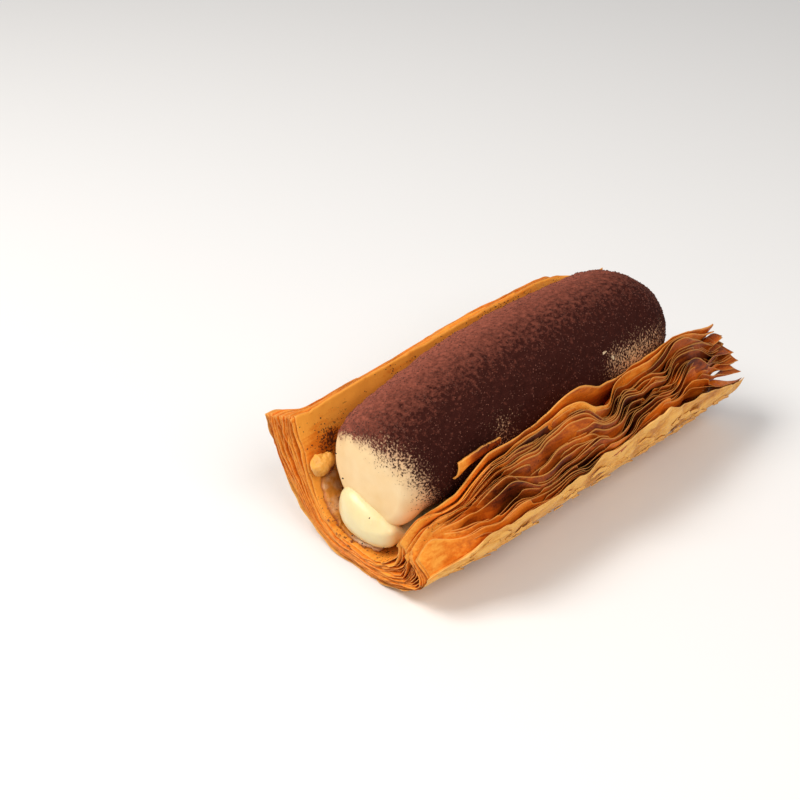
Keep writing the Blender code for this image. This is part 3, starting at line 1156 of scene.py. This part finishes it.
@dataclass
class CrustFlakes:
    """Scales of the outermost leaf that came half loose and curl off the crust."""

    trough: LeafStack
    count: int = 150
    rows: int = 5
    columns: int = 8
    longest: float = 6.5
    widest: float = 2.8
    thick: float = 0.16
    sunk: float = 0.25
    fanned_share: float = 0.68
    # no scale hangs past the ends or the rims
    reach_x: tuple[float, float] = (-56.0, 56.5)
    reach_around: float = 0.985
    seed: int = 19

    def build(self) -> bpy.types.Object:
        """Scatter the scales over the outside.

        Each is a grid of length shares -1..1 and width shares -1..1, narrowed
        to a leaf-like outline with ragged noise, laid on the outer skin and
        curled away from it with the square of the length share.

        Returns:
            All the scales as one piece.
        """
        dice = np.random.default_rng(self.seed)
        fanned = dice.uniform(size=self.count) < self.fanned_share
        arm = np.where(fanned, Arm.FANNED.value, Arm.PLAIN.value)
        middle_x = dice.uniform(-52.0, 52.0, self.count)
        middle_around = arm * dice.uniform(0.3, 0.93, self.count)
        long = self.longest * dice.uniform(0.35, 1.0, self.count) ** 1.3
        wide = self.widest * dice.uniform(0.4, 1.0, self.count)
        lift = dice.uniform(0.1, 0.5, self.count)
        skew = dice.uniform(-0.35, 0.35, self.count)
        u = np.linspace(-1.0, 1.0, self.columns)[None, None, :]
        v = np.linspace(-1.0, 1.0, self.rows)[None, :, None]
        key = np.arange(self.count)[:, None, None] * 3.1
        ragged = 1.0 + 0.6 * soft_noise([u * 3.0, v * 2.0, key], 131)
        narrow = (1.0 - 0.75 * np.abs(u) ** 2.2) * ragged
        middle_x, middle_around, long, wide, lift, skew = (
            drawn[:, None, None] for drawn in (middle_x, middle_around, long, wide, lift, skew)
        )
        x = np.clip(middle_x + 0.5 * long * (u + skew * v), *self.reach_x)
        around = middle_around + 0.5 * wide * v * narrow / self.trough.plain_run
        around = np.clip(around, -self.reach_around, self.reach_around)
        base = self.trough.point(x, around, 1.0)
        outward = base - self.trough.point(x, around, 0.0)
        outward /= np.linalg.norm(outward, axis=-1)[..., None]
        rise = lift * (0.5 + 0.5 * u) ** 2 + 0.2 * (1.0 - v**2) - self.sunk
        outer = base + outward * (rise + self.thick)[..., None]
        inner = base + outward * rise[..., None]
        for grid in (inner, outer):
            grid[..., 2] = np.maximum(grid[..., 2], LOWEST_MM)
        tone = 0.05 + 0.098 * scatter_value([np.arange(self.count)], 132)
        edge = np.tile(2.0 * (1.0 - np.maximum(np.abs(u), np.abs(v))).ravel(), 2)
        skin = Skin()
        for number in range(self.count):
            corners, quads = slab(inner[number], outer[number])
            skin.add(corners, quads, {"browning": tone[number], "edge": edge, "dust": 0.0})
        scales = skin.write("loose_crust_scales", self.trough.crust_finish.material())
        return scales


@dataclass
class CreamRoll:
    """Log of firm whipped cream: flat bare snout at the near end, domed far end, cocoa all over."""

    near_x: float = -54.0
    far_x: float = 49.5
    radius: float = 17.5
    centre_y: float = 0.3
    centre_z: float = 29.7
    thickest_x: float = 3.0
    half_length: float = 50.0
    slim_near: float = 3.4
    slim_far: float = 2.4
    sag_near: float = 2.3
    sag_far: float = 2.0
    # share of the travel over the near end, over the dome, and, of the first, over the flat face
    travel_shares: tuple[float, float, float] = (0.22, 0.30, 0.4)
    face_bow: float = 0.8
    near_round: float = 6.0
    near_face: float = 0.74
    far_round: float = 17.0
    rings: int = 318
    segments: int = 240
    # how far the snout hangs down on to the custard
    lip_drop: float = 3.4
    # heights of the powder clumps and of the wide swells
    clump_relief: float = 0.32
    swell_relief: float = 0.26
    cream_slope: float = 0.45
    finish: DustedCreamFinish = field(default_factory=DustedCreamFinish)

    def spine(self, x: Numbers) -> tuple[np.ndarray, np.ndarray]:
        """Middle line of the log.

        Args:
            x: stations.

        Returns:
            Centre height and radius: both fall with the square of the
            distance from the thickest station, counted in half lengths.
        """
        away = (np.asarray(x, float) - self.thickest_x) / self.half_length
        near = away < 0.0
        radius = self.radius - np.where(near, self.slim_near, self.slim_far) * away * away
        centre = self.centre_z - np.where(near, self.sag_near, self.sag_far) * away * away
        return centre, radius

    def surface(self, travel: Numbers, angle: Numbers) -> tuple[np.ndarray, np.ndarray]:
        """Points of the cocoa-covered surface.

        Args:
            travel: 0 at the middle of the near face, 1 at the far tip.
            angle: turn round the spine, 0 towards the plain arm.

        Returns:
            (..., 3) points and how well each is covered by cocoa.  A flat face
            turns over a quarter round into the log, which closes in a dome;
            clumps and swells push it out along its radius.
        """
        travel, angle = np.broadcast_arrays(travel, angle)
        near_share, far_share, face_share = self.travel_shares
        t = np.clip(travel / near_share, 0.0, 1.0)
        face = np.minimum(t / face_share, 1.0)
        turn = 0.5 * np.pi * np.clip((t - face_share) / (1.0 - face_share), 0.0, 1.0)
        rounded = (self.near_round - self.face_bow) * (1.0 - np.cos(turn))
        near_x = self.near_x + self.face_bow * face**2 + rounded
        near_swell = self.near_face * face + (1.0 - self.near_face) * np.sin(turn)
        t = np.clip((1.0 - travel) / far_share, 0.0, 1.0)
        turn = 0.5 * np.pi * t
        far_x = self.far_x - self.far_round * (1.0 - np.cos(turn) ** 1.15)
        far_swell = np.sin(turn) ** 0.9
        t = (travel - near_share) / (1.0 - near_share - far_share)
        body_x = mix(self.near_x + self.near_round, self.far_x - self.far_round, t)
        x = np.where(travel < near_share, near_x, np.where(travel > 1.0 - far_share, far_x, body_x))
        swell = np.where(travel < near_share, near_swell, np.where(travel > 1.0 - far_share, far_swell, 1.0))
        centre, radius = self.spine(x)
        snout = 1.0 - ease(x, self.near_x + 1.0, -43.0)
        fold = 0.35 * snout * np.cos(2.0 * angle + 0.6)
        lip = self.lip_drop * snout * np.clip(-np.sin(angle), 0.0, 1.0) ** 1.5
        crease = -0.9 * snout * hump(np.degrees(angle) % 360.0, 292.0, 9.0)
        radius = (radius + fold + lip + crease) * swell
        y = self.centre_y + radius * np.cos(angle)
        z = centre + radius * np.sin(angle)
        cover = self.cover(x, y, z)
        clump = rough_noise([x / 1.5, y / 1.5, z / 1.5], 71, 3)
        clump = clump + 0.35 * soft_noise([x / 0.85, y / 0.85, z / 0.85], 76)
        wide = soft_noise([x / 4.2, y / 4.2, z / 4.2], 72)
        bare = rough_noise([x / 8.0, y / 6.0, z / 6.0], 73, 2)
        powdered = ease(cover, 0.35, 0.75)
        lift = mix(0.3 * bare, self.clump_relief * clump + self.swell_relief * wide, powdered)
        lift = lift * ease(np.minimum(travel, 1.0 - travel), 0.0, 0.02)
        out_y, out_z = np.cos(angle) * swell, np.sin(angle) * swell
        out_x = np.where(travel < 0.5, -1.0, 1.0) * np.sqrt(np.clip(1.0 - swell**2, 0.0, 1.0))
        points = np.stack([x + lift * out_x, y + lift * out_y, z + lift * out_z], axis=-1)
        return points, cover

    def cover(self, x: np.ndarray, y: np.ndarray, z: np.ndarray) -> np.ndarray:
        """Cocoa cover at points of the roll: 0 bare cream, 1 thick powder.

        Args:
            x: stations.
            y: across.
            z: heights.

        Returns:
            A ramp across a slanting line behind the near face, wider on the
            fanned side, less what the spoon brushed off low on that side.
        """
        line = x + 50.0 + self.cream_slope * (z - 25.0)
        ragged = 1.1 * rough_noise([x / 3.0, y / 3.0, z / 3.0], 74, 3)
        fanned = ease(-y, -4.0, 12.0)
        width = mix(6.0, 20.0, fanned)
        ramp = (line + ragged) / width + 0.36
        centre, _ = self.spine(x)
        side = np.degrees(np.arctan2(z - centre, y - self.centre_y))
        low = ease(np.where(side < -90.0, side + 360.0, side), 128.0, 164.0)
        patch = np.maximum.reduce(
            [0.8 * hump(x, -24.0, 8.0), hump(x, 21.0, 15.0), 0.35 * hump(x, -6.0, 10.0)]
        )
        brushed = 0.6 * low * patch + 0.3 * low * hump(x, 40.0, 10.0)
        cloud = 0.12 * rough_noise([x / 7.0, y / 7.0, z / 7.0], 75, 3)
        return np.clip(np.minimum(ramp, 1.05 + cloud - brushed), -0.4, 1.4)

    def build(self) -> bpy.types.Object:
        """Make the roll in place of the plain one.

        Returns:
            The roll; its side towards the fanned arm is darker, which is painted shade.
        """
        share = np.linspace(0.0, 1.0, self.rings + 2)
        travel = mix(share, 0.5 - 0.5 * np.cos(np.pi * share), 0.15)[1:-1, None]
        angle = np.linspace(0.0, 2.0 * np.pi, self.segments, endpoint=False)[None, :]
        rings, cover = self.surface(travel, angle)
        tips, tip_cover = self.surface(np.array([0.0, 1.0]), np.zeros(2))
        corners, quads = pod(rings, tips[0], tips[1])
        # painted shade: darker towards the fanned arm
        damp = ease(-rings[..., 1], -14.0, 14.0)
        values = {
            "cover": np.concatenate([cover.ravel(), tip_cover]),
            "damp": np.concatenate([damp.ravel(), [0.5, 0.5]]),
        }
        skin = Skin()
        skin.add(corners, quads, values)
        roll = skin.write("cream_roll_dusted", self.finish.material())
        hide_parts("cream_roll")
        return roll


@dataclass
class CustardStrip:
    """Custard piped along the floor under the roll, swelling out in one plump drop at the near end."""

    trough: LeafStack
    roll: CreamRoll
    near_x: float = -57.4
    far_x: float = 50.0
    middle_y: float = -1.0
    half_width: float = 8.6
    low: float = 8.25
    high: float = 11.3
    bulge_high: float = 18.6
    bulge_side: float = 1.4
    bulge_length: float = 4.6
    lean_up: float = 2.6
    neck: float = 4.0
    bulge_start: float = 5.0
    bulge_stop: float = 11.0
    rings: int = 170
    segments: int = 96
    # egg custard with vanilla: pale, glossy, light goes a little way in; its dark colour is painted shade
    # towards the floor
    finish: CustardFinish = CustardFinish("set_vanilla_custard", "#E6D6A4", "#CDAE68", scatter=0.2)

    def surface(self, travel: Numbers, angle: Numbers) -> np.ndarray:
        """Points of the custard.

        Args:
            travel: 0 at the nose, 1 at the far tip.
            angle: turn round the strip, 0 towards the plain arm.

        Returns:
            (..., 3) points: an oval section that follows the floor and the
            underside of the roll, swollen behind a round nose, with a long tail.
        """
        travel, angle = np.broadcast_arrays(travel, angle)
        turn = np.pi * travel
        nose = np.minimum(2.2 * turn, np.pi) / 2.0
        behind = np.maximum(0.0, 2.2 * turn - np.pi) / (0.1 * np.pi) * self.neck
        near_x = self.near_x + self.bulge_length * (1.0 - np.cos(nose)) + behind
        t = (travel - 0.5) * 2.0
        neck_x = self.near_x + self.bulge_length + self.neck
        far_x = mix(neck_x, self.far_x, ease(t, -0.2, 1.0))
        tail = np.sqrt(np.maximum(0.0, 1.0 - ease(t, 0.55, 1.0) ** 2))
        x = np.where(travel < 0.5, near_x, far_x)
        full = np.where(travel < 0.5, np.sin(nose), tail)
        bulge = 1.0 - ease(x, self.near_x + self.bulge_start, self.near_x + self.bulge_stop)
        low = self.low - self.trough.floor_top + self.trough.floor_height(x)
        centre, radius = self.roll.spine(np.maximum(x, self.roll.near_x + 7.0))
        high = mix(np.minimum(self.high, centre - radius - 0.45), self.bulge_high, bulge)
        tall = 0.5 * (high - low) * full
        wide = self.half_width * full * (1.0 + 0.08 * bulge)
        sag = 0.25 * soft_noise([x / 5.0, 3.0 * np.cos(angle), 3.0 * np.sin(angle)], 81) * full
        plump = mix(1.0, 0.78, bulge)
        across = np.sign(np.cos(angle)) * np.abs(np.cos(angle)) ** plump
        up = np.sign(np.sin(angle)) * np.abs(np.sin(angle)) ** plump
        y = self.middle_y + self.bulge_side * bulge + (wide + sag) * across
        z = 0.5 * (low + high) + (tall + sag) * up
        z = z + self.lean_up * bulge * full * np.clip(up, 0.0, 1.0) * across
        return np.stack([x, y, z], axis=-1)

    def build(self) -> bpy.types.Object:
        """Make the custard in place of the plain strip.

        Returns:
            The custard, with painted shade a little darker towards the floor.
        """
        corners, quads = inflate(self.surface, self.rings, self.segments)
        # painted shade: darker towards the floor
        shade = 0.5 * (1.0 - ease(corners[:, 2], 7.5, 13.0))
        skin = Skin()
        skin.add(corners, quads, {"shade": shade, "dust": 0.05})
        strip = skin.write("custard_under_roll", self.finish.material())
        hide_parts("custard_strip")
        return strip


@dataclass
class CreamLining:
    """Thin coffee cream spread on the floor and up the plain arm, smeared and dusted."""

    trough: LeafStack
    near_x: float = -55.6
    far_x: float = 53.0
    gap: float = 0.35
    thick: float = 1.1
    fanned_reach: float = 4.0
    plain_reach: float = 22.0
    swell: float = 1.9
    rows: int = 80
    stations: int = 240
    # coffee cream smeared thin: tan to ivory, half matt, speckled with cocoa
    finish: CustardFinish = CustardFinish(
        "spread_coffee_cream", "#F0D6B4", "#C4781E", scatter=0.05, roughness=0.6, speck_mm=0.5
    )

    def skin_grid(self, depth_share: float) -> np.ndarray:
        """One skin of the lining.

        Args:
            depth_share: 0 for the skin that shows, 1 for the one on the leaf.

        Returns:
            (rows, stations, 3) grid: the inner skin of the trough walked at a
            smaller radius, thicker in the corner of the near end.
        """
        b = np.linspace(0.0, 1.0, self.rows)[:, None]
        a = (np.linspace(0.0, 1.0, self.stations) ** 1.6)[None, :]
        ragged = 0.7 * rough_noise([b * 9.0, 0.0], 91, 3)
        start = self.near_x + 1.6 * (2.0 * b - 1.0) ** 2 + np.abs(ragged)
        x = mix(start, self.far_x, a)
        lap = 1.5 * rough_noise([x / 5.0, 0.0], 92, 3) * b**3
        distance = mix(-self.fanned_reach, self.plain_reach, b) + lap
        taper = np.sin(np.pi * np.clip(b, 0.0, 1.0)) ** 0.35
        corner = self.swell * (1.0 - ease(x, -54.0, -45.0)) * hump(distance, 15.0, 6.0)
        lump = 0.5 * rough_noise([x / 3.6, distance / 3.0], 93, 3)
        body = self.thick * mix(0.35, 1.0, taper) + (corner + lump) * taper
        depth = self.gap + np.maximum(body, 0.25) * (1.0 - depth_share)
        points = []
        for arm, side in ((Arm.PLAIN, self.trough.inner_plain), (Arm.FANNED, self.trough.inner_fanned)):
            flat, radius, angle = side
            walked = np.abs(distance) * (radius - depth) / radius
            y, z = self.trough.walk((flat, radius - depth, angle), walked, 0.0)
            z = z + self.trough.floor_height(x) + depth
            points.append(np.stack([x, arm.value * y, z], axis=-1))
        return np.where((distance >= 0.0)[..., None], points[0], points[1])

    def build(self) -> bpy.types.Object:
        """Make the lining in place of the plain one.

        Returns:
            The lining, palest beside the custard.
        """
        top, bottom = self.skin_grid(0.0), self.skin_grid(1.0)
        corners, quads = slab(top, bottom)
        x, y, z = corners.T
        pale = hump(y, -1.0, 6.0)
        shade = 0.8 - 0.7 * pale + 0.5 * rough_noise([x / 3.0, y / 2.5, z / 2.5], 94, 3)
        dust = 0.26 + 0.22 * rough_noise([x / 2.0, y / 2.0, z / 2.0], 95, 2) + 0.1 * hump(z, 12.0, 3.0)
        skin = Skin()
        skin.add(corners, quads, {"shade": shade, "dust": dust})
        lining = skin.write("cream_spread_on_floor", self.finish.material())
        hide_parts("cream_lining")
        return lining


@dataclass
class CustardDab:
    """Dab of custard that baked on to the plain arm: golden and puckered, with painted shadow underneath."""

    trough: LeafStack
    at_x: float = -53.4
    half_length: float = 3.4
    half_tall: float = 2.5
    half_thick: float = 1.6
    up_wall: float = 26.0
    gap: float = 0.35
    rings: int = 60
    segments: int = 64
    # custard skinned over and browned by the oven: golden and puckered, with painted shadow below
    finish: CustardFinish = CustardFinish(
        "oven_browned_custard", "#EBA94A", "#8A4716", scatter=0.08, roughness=0.36, mottle_mm=1.6
    )

    def surface(self, travel: Numbers, angle: Numbers) -> np.ndarray:
        """Points of the dab.

        Args:
            travel: 0 at the near tip, 1 at the far tip.
            angle: turn round the dab.

        Returns:
            (..., 3) points: an egg leaning on the wall, its radius puckered by
            noise 2 mm wide.
        """
        travel, angle = np.broadcast_arrays(travel, angle)
        turn = np.pi * travel
        full = np.sin(turn) ** 0.8
        x = self.at_x - self.half_length * np.cos(turn)
        pucker = 1.08 + 0.4 * rough_noise([x / 2.2, 1.3 * np.cos(angle), 1.3 * np.sin(angle)], 101, 3)
        y, z = self.trough.walk(self.trough.inner_plain, self.up_wall, self.trough.floor_height(self.at_x))
        lean = math.radians(self.trough.inner_plain[2])
        up = self.half_tall * full * pucker * np.sin(angle)
        out = self.half_thick * full * pucker * np.cos(angle) - self.half_thick - self.gap
        y = y + up * math.cos(lean) + out * math.sin(lean)
        z = z + up * math.sin(lean) - out * math.cos(lean)
        return np.stack([x, y, z], axis=-1)

    def build(self) -> bpy.types.Object:
        """Make the dab in place of the plain one.

        Returns:
            The dab, with painted shadow low on the side that faces the roll.
        """
        corners, quads = inflate(self.surface, self.rings, self.segments)
        x, _, z = corners.T
        # painted shade darker underneath, and a painted shadow spot low at the far side
        under = 1.0 - ease(z, z.min() + 1.2, z.max() - 1.8)
        painted_shadow = ease(x, self.at_x - 1.4, self.at_x + 1.2) * under
        skin = Skin()
        skin.add(corners, quads, {"shade": 0.25 * under + 0.9 * painted_shadow, "dust": 0.12 + 0.75 * painted_shadow})
        dab = skin.write("custard_dab_browned", self.finish.material())
        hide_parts("custard_dab")
        return dab


@dataclass
class LooseFlake:
    """Broken leaf lying between the roll and the fanned arm: gold hooked tip, brown tail."""

    start_x: float = -41.0
    stop_x: float = -28.0
    thick: float = 0.5
    rows: int = 26
    stations: int = 70
    finish: BakedLeafFinish = field(default_factory=lambda: BakedLeafFinish(name="broken_pastry_leaf"))

    def skin_grid(self, depth_share: float) -> np.ndarray:
        """One skin of the flake.

        Args:
            depth_share: 0 for the skin towards the roll, 1 for the other.

        Returns:
            (rows, stations, 3) grid: a strip curled across as a part of a
            circle, with ragged sides, whose near tip hooks down.
        """
        a = np.linspace(0.0, 1.0, self.stations)[None, :]
        b = np.linspace(0.0, 1.0, self.rows)[:, None]
        ragged = rough_noise([a * 4.0, 0.0], 111, 4)
        tip = 1.0 - ease(a, 0.0, 0.3)
        low = -0.95 - 0.5 * tip + 0.16 * ragged
        high = 0.95 * (1.0 - 0.55 * ease(a, 0.55, 1.0)) + 0.12 * rough_noise([a * 5.0, 0.0], 112, 4)
        curl = mix(low, high, b)
        x = mix(self.start_x, self.stop_x, a) + 0.8 * (b - 0.5) * tip
        y = -15.5 - 1.2 * np.cos(curl) - self.thick * depth_share - 0.9 * a + 0.15 * ragged * b
        z = mix(30.6, 33.0, a) + 1.6 * np.sin(curl) - 1.4 * tip * (1.0 - b)
        return np.stack(np.broadcast_arrays(x, y, z), axis=-1)

    def build(self) -> bpy.types.Object:
        """Make the flake in place of the plain one.

        Returns:
            The flake: gold at its tip, browned and dusted along its tail.
        """
        corners, quads = slab(self.skin_grid(0.0), self.skin_grid(1.0))
        a = np.tile(np.linspace(0.0, 1.0, self.stations), 2 * self.rows)
        b = np.tile(np.repeat(np.linspace(0.0, 1.0, self.rows), self.stations), 2)
        edge = np.minimum(np.minimum(a, 1.0 - a) * 12.0, np.minimum(b, 1.0 - b) * 3.5)
        tone = 0.08 + 0.55 * ease(a, 0.12, 0.45)
        skin = Skin()
        skin.add(corners, quads, {"browning": tone, "edge": edge, "dust": 0.45 * ease(a, 0.2, 0.6)})
        flake = skin.write("loose_leaf_flake", self.finish.material())
        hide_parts("loose_flake")
        return flake


@dataclass
class Crumbs:
    """Everything small that is scattered: cocoa grains, vanilla seeds, slivers and crumbs."""

    trough: LeafStack
    roll: CreamRoll
    roll_grains: int = 9000
    wall_grains: int = 2600
    fallen_crumbs: int = 26
    crumb_middle: tuple[float, float, float] = (-55.4, 7.0, 5.2)
    crumb_spread: tuple[float, float, float] = (0.9, 3.4, 0.3)
    seed_mm: float = 0.24
    seed_places: tuple = (
        (-56.35, -3.5, 17.3),
        (-56.4, -1.1, 14.3),
        (-55.9, 3.2, 7.8),
        (-55.9, -0.3, 7.4),
        (-55.6, -7.5, 10.3),
        (-53.9, 10.5, 27.3),
        (-54.0, 8.2, 21.2),
        (-53.0, 12.2, 9.9),
    )
    sliver_places: tuple = ((12.2, -15.2, 37.9), (14.9, -16.0, 35.9))
    sliver_sizes: tuple = ((1.1, 0.3, 0.55), (0.9, 0.3, 0.5))
    seed: int = 7

    @staticmethod
    def grains(centres: np.ndarray, sizes: np.ndarray, dice: np.random.Generator) -> tuple:
        """Eight-sided grains.

        Args:
            centres: (n, 3) places.
            sizes: (n, 3) half widths along the grain's own axes.
            dice: random source for the turns.

        Returns:
            Corners and quads: the six corners of each octahedron, turned by a
            random quaternion.
        """
        axes = np.array([[1, 0, 0], [-1, 0, 0], [0, 1, 0], [0, -1, 0], [0, 0, 1], [0, 0, -1]], float)
        faces = np.array(
            [[0, 2, 4], [2, 1, 4], [1, 3, 4], [3, 0, 4], [2, 0, 5], [1, 2, 5], [3, 1, 5], [0, 3, 5]]
        )
        spin = dice.normal(size=(len(centres), 4))
        spin /= np.linalg.norm(spin, axis=1)[:, None]
        w, x, y, z = spin.T
        turn = np.stack(
            [
                1 - 2 * (y * y + z * z), 2 * (x * y - w * z), 2 * (x * z + w * y),
                2 * (x * y + w * z), 1 - 2 * (x * x + z * z), 2 * (y * z - w * x),
                2 * (x * z - w * y), 2 * (y * z + w * x), 1 - 2 * (x * x + y * y),
            ],
            axis=1,
        ).reshape(-1, 3, 3)
        local = axes[None] * sizes[:, None, :]
        corners = np.einsum("nij,nkj->nki", turn, local) + centres[:, None, :]
        first = len(axes) * np.arange(len(centres))[:, None, None]
        quads = np.concatenate([faces, faces[:, 2:]], axis=1)[None] + first
        return corners.reshape(-1, 3), quads.reshape(-1, 4)

    def scatter(
        self,
        name: str,
        centres: np.ndarray,
        sizes: np.ndarray,
        finish: BitFinish,
        slot: str,
        dice: np.random.Generator,
    ) -> bpy.types.Object:
        """Write one kind of grain as a piece.

        Args:
            name: piece name.
            centres: (n, 3) places.
            sizes: (n, 3) half widths.
            finish: its finish.
            slot: not used.
            dice: random source.

        Returns:
            The piece.
        """
        skin = Skin()
        corners, quads = self.grains(centres, sizes, dice)
        skin.add(corners, quads, {})
        piece = skin.write(name, finish.material(), smooth=False)
        return piece

    def build(self) -> list[bpy.types.Object]:
        """Scatter each kind in turn.

        Returns:
            A piece for each kind: cocoa where the roll's cover and the wall's
            clouds of noise call for it, the rest near given places.
        """
        dice = np.random.default_rng(self.seed)
        pieces = []
        travel = dice.uniform(0.03, 0.97, self.roll_grains * 2)
        angle = dice.uniform(-0.35 * np.pi, 1.2 * np.pi, self.roll_grains * 2)
        places, cover = self.roll.surface(travel, angle)
        kept = places[dice.uniform(0.0, 1.0, len(cover)) < ease(cover, 0.35, 0.95)][: self.roll_grains]
        size = dice.uniform(0.09, 0.24, (len(kept), 1)) * dice.uniform(0.7, 1.2, (len(kept), 3))
        # cocoa powder balled up on the cream: dull red-brown
        cocoa = BitFinish("cocoa_powder_clumps", "#744030", "#4A241A", 0.95)
        pieces.append(self.scatter("cocoa_on_roll", kept, size, cocoa, "cocoa_cream", dice))

        x = dice.uniform(-56.0, 54.0, self.wall_grains * 3)
        around = dice.uniform(0.5, 0.995, self.wall_grains * 3)
        places = self.trough.point(x, around, 0.0)
        smudge = hump(x, -48.0, 5.0) * hump(places[:, 2], 24.5, 3.5)
        thick = 0.1 + 0.5 * ease(x, -45.0, 10.0) + 0.6 * smudge
        cloud = rough_noise([x / 5.0, places[:, 2] / 4.0], 121, 3)
        chance = thick * ease(cloud, -0.3, 0.5)
        kept = places[dice.uniform(0.0, 1.0, len(x)) < chance][: self.wall_grains]
        size = dice.uniform(0.08, 0.26, (len(kept), 1)) * dice.uniform(0.6, 1.3, (len(kept), 3))
        # cocoa powder that fell on buttery pastry and took up its fat: darker
        fallen = BitFinish("fallen_cocoa_powder", "#5A3020", "#2C140D", 0.95)
        pieces.append(self.scatter("cocoa_on_wall", kept, size, fallen, "crust", dice))

        seeds = np.array(self.seed_places)
        size = np.full(seeds.shape, self.seed_mm) * dice.uniform(0.8, 1.3, seeds.shape)
        # seeds scraped from a vanilla pod: near black, oily
        vanilla = BitFinish("vanilla_seeds", "#2E2417", "#14100A", 0.4)
        pieces.append(self.scatter("vanilla_seeds", seeds, size, vanilla, "custard", dice))

        spread = dice.normal(size=(self.fallen_crumbs, 3)) * np.array(self.crumb_spread)
        crumbs = np.array(self.crumb_middle) + spread
        crumbs[:, 2] += 0.045 * (crumbs[:, 1] - 2.0) ** 2
        size = dice.uniform(0.18, 0.5, (len(crumbs), 1)) * dice.uniform(0.5, 1.3, (len(crumbs), 3))
        # broken bits of baked leaf: gold to brown, dry
        baked = BitFinish("pastry_crumbs", "#C07838", "#7A3A18", 0.8)
        pieces.append(self.scatter("pastry_crumbs", crumbs, size, baked, "crust", dice))

        slivers = np.array(self.sliver_places)
        # slivers of blanched nut: pale, smoother than the cocoa round them
        nut = BitFinish("pale_nut_slivers", "#D9C3A0", "#A88A66", 0.6)
        pieces.append(
            self.scatter("pale_slivers", slivers, np.array(self.sliver_sizes), nut, "cocoa_cream", dice)
        )
        return pieces


@dataclass
class Studio:
    """Pale table, soft light from the plain arm's side, and the camera."""

    focal_mm: float = 63.0
    sensor_mm: float = 36.0
    heading_deg: float = 44.0
    tilt_deg: float = 34.1
    camera_mm: tuple[float, float, float] = (-227.831, -191.337, 222.336)
    table: str = "#ECEBEA"
    table_size: float = 6.0
    table_roughness: float = 0.6
    # name, place in metres, side in metres, watts, colour
    softboxes: tuple = (
        ("window", (-0.36, 0.26, 0.62), 0.36, 4.6, "#FFFBF6"),
        ("front_fill", (-0.12, -0.52, 0.6), 0.5, 2.9, "#FFFDFA"),
    )
    # the softboxes face this height above the middle of the table
    aim_high: float = 0.02
    sky: str = "#FEFEFF"
    sky_strength: float = 0.34

    def axes(self) -> tuple[np.ndarray, np.ndarray, np.ndarray]:
        """Directions of the camera.

        Returns:
            Right, up and forward, from its heading and tilt.
        """
        heading, tilt = math.radians(self.heading_deg), math.radians(self.tilt_deg)
        right = np.array([math.cos(heading), -math.sin(heading), 0.0])
        level = np.array([math.sin(heading), math.cos(heading), 0.0])
        forward = math.cos(tilt) * level - math.sin(tilt) * np.array([0.0, 0.0, 1.0])
        return right, np.cross(right, forward), forward

    def place_camera(self) -> None:
        """Stand the camera and make it the scene's own."""
        right, up, forward = self.axes()
        lens = bpy.data.cameras.new("camera")
        lens.sensor_width, lens.lens = self.sensor_mm, self.focal_mm
        lens.clip_start, lens.clip_end = 0.01, 20.0
        camera = bpy.data.objects.new("camera", lens)
        bpy.context.scene.collection.objects.link(camera)
        turn = np.eye(4)
        turn[:3, 0], turn[:3, 1], turn[:3, 2] = right, up, -forward
        turn[:3, 3] = np.array(self.camera_mm) * MM
        camera.matrix_world = Matrix(turn.tolist())
        bpy.context.scene.camera = camera

    def lay_table(self) -> None:
        """Lay a pale table under the pastry."""
        bpy.ops.mesh.primitive_plane_add(size=self.table_size)
        table = bpy.context.object
        table.name = "table"
        material, _, shader = start_material("matt_white_table")
        shader.inputs["Base Color"].default_value = linear(self.table)
        shader.inputs["Roughness"].default_value = self.table_roughness
        table.data.materials.append(material)

    def add_softbox(self, name: str, place: tuple, size: float, watts: float, colour: str) -> None:
        """Hang one square area light that faces the pastry.

        Args:
            name: name of the light.
            place: where it hangs, in metres.
            size: its side, in metres.
            watts: its power.
            colour: its colour, as sRGB hex.
        """
        light = bpy.data.lights.new(name, "AREA")
        light.size, light.energy = size, watts
        light.color = linear(colour)[:3]
        box = bpy.data.objects.new(name, light)
        box.location = place
        aim = np.array([0.0, 0.0, self.aim_high]) - np.array(place)
        box.rotation_euler = Vector(aim).to_track_quat("-Z", "Y").to_euler()
        bpy.context.scene.collection.objects.link(box)

    def build(self) -> None:
        """Set the sky, the lights, the table and the camera."""
        world = bpy.data.worlds.new("soft_white_room")
        world.use_nodes = True
        sky = world.node_tree.nodes["Background"]
        sky.inputs["Color"].default_value = linear(self.sky)
        sky.inputs["Strength"].default_value = self.sky_strength
        bpy.context.scene.world = world
        bpy.context.scene.view_settings.view_transform = "Standard"
        for softbox in self.softboxes:
            self.add_softbox(*softbox)
        self.lay_table()
        self.place_camera()


def report(pieces: Iterable[bpy.types.Object]) -> None:
    """Log the name of each finished piece."""
    for piece in pieces:
        log.info("%s is in place", piece.name)


def main() -> None:
    """Build the pastry from the trough up, then the studio."""
    logging.basicConfig(level=logging.INFO, format="%(name)s: %(message)s")
    trough = LeafStack()
    roll = CreamRoll()
    report(trough.build())
    singles = (
        CrustFlakes(trough),
        roll,
        CustardStrip(trough, roll),
        CreamLining(trough),
        CustardDab(trough),
        LooseFlake(),
    )
    report(maker.build() for maker in singles)
    report(Crumbs(trough, roll).build())
    Studio().build()


if __name__ == "__main__":
    main()
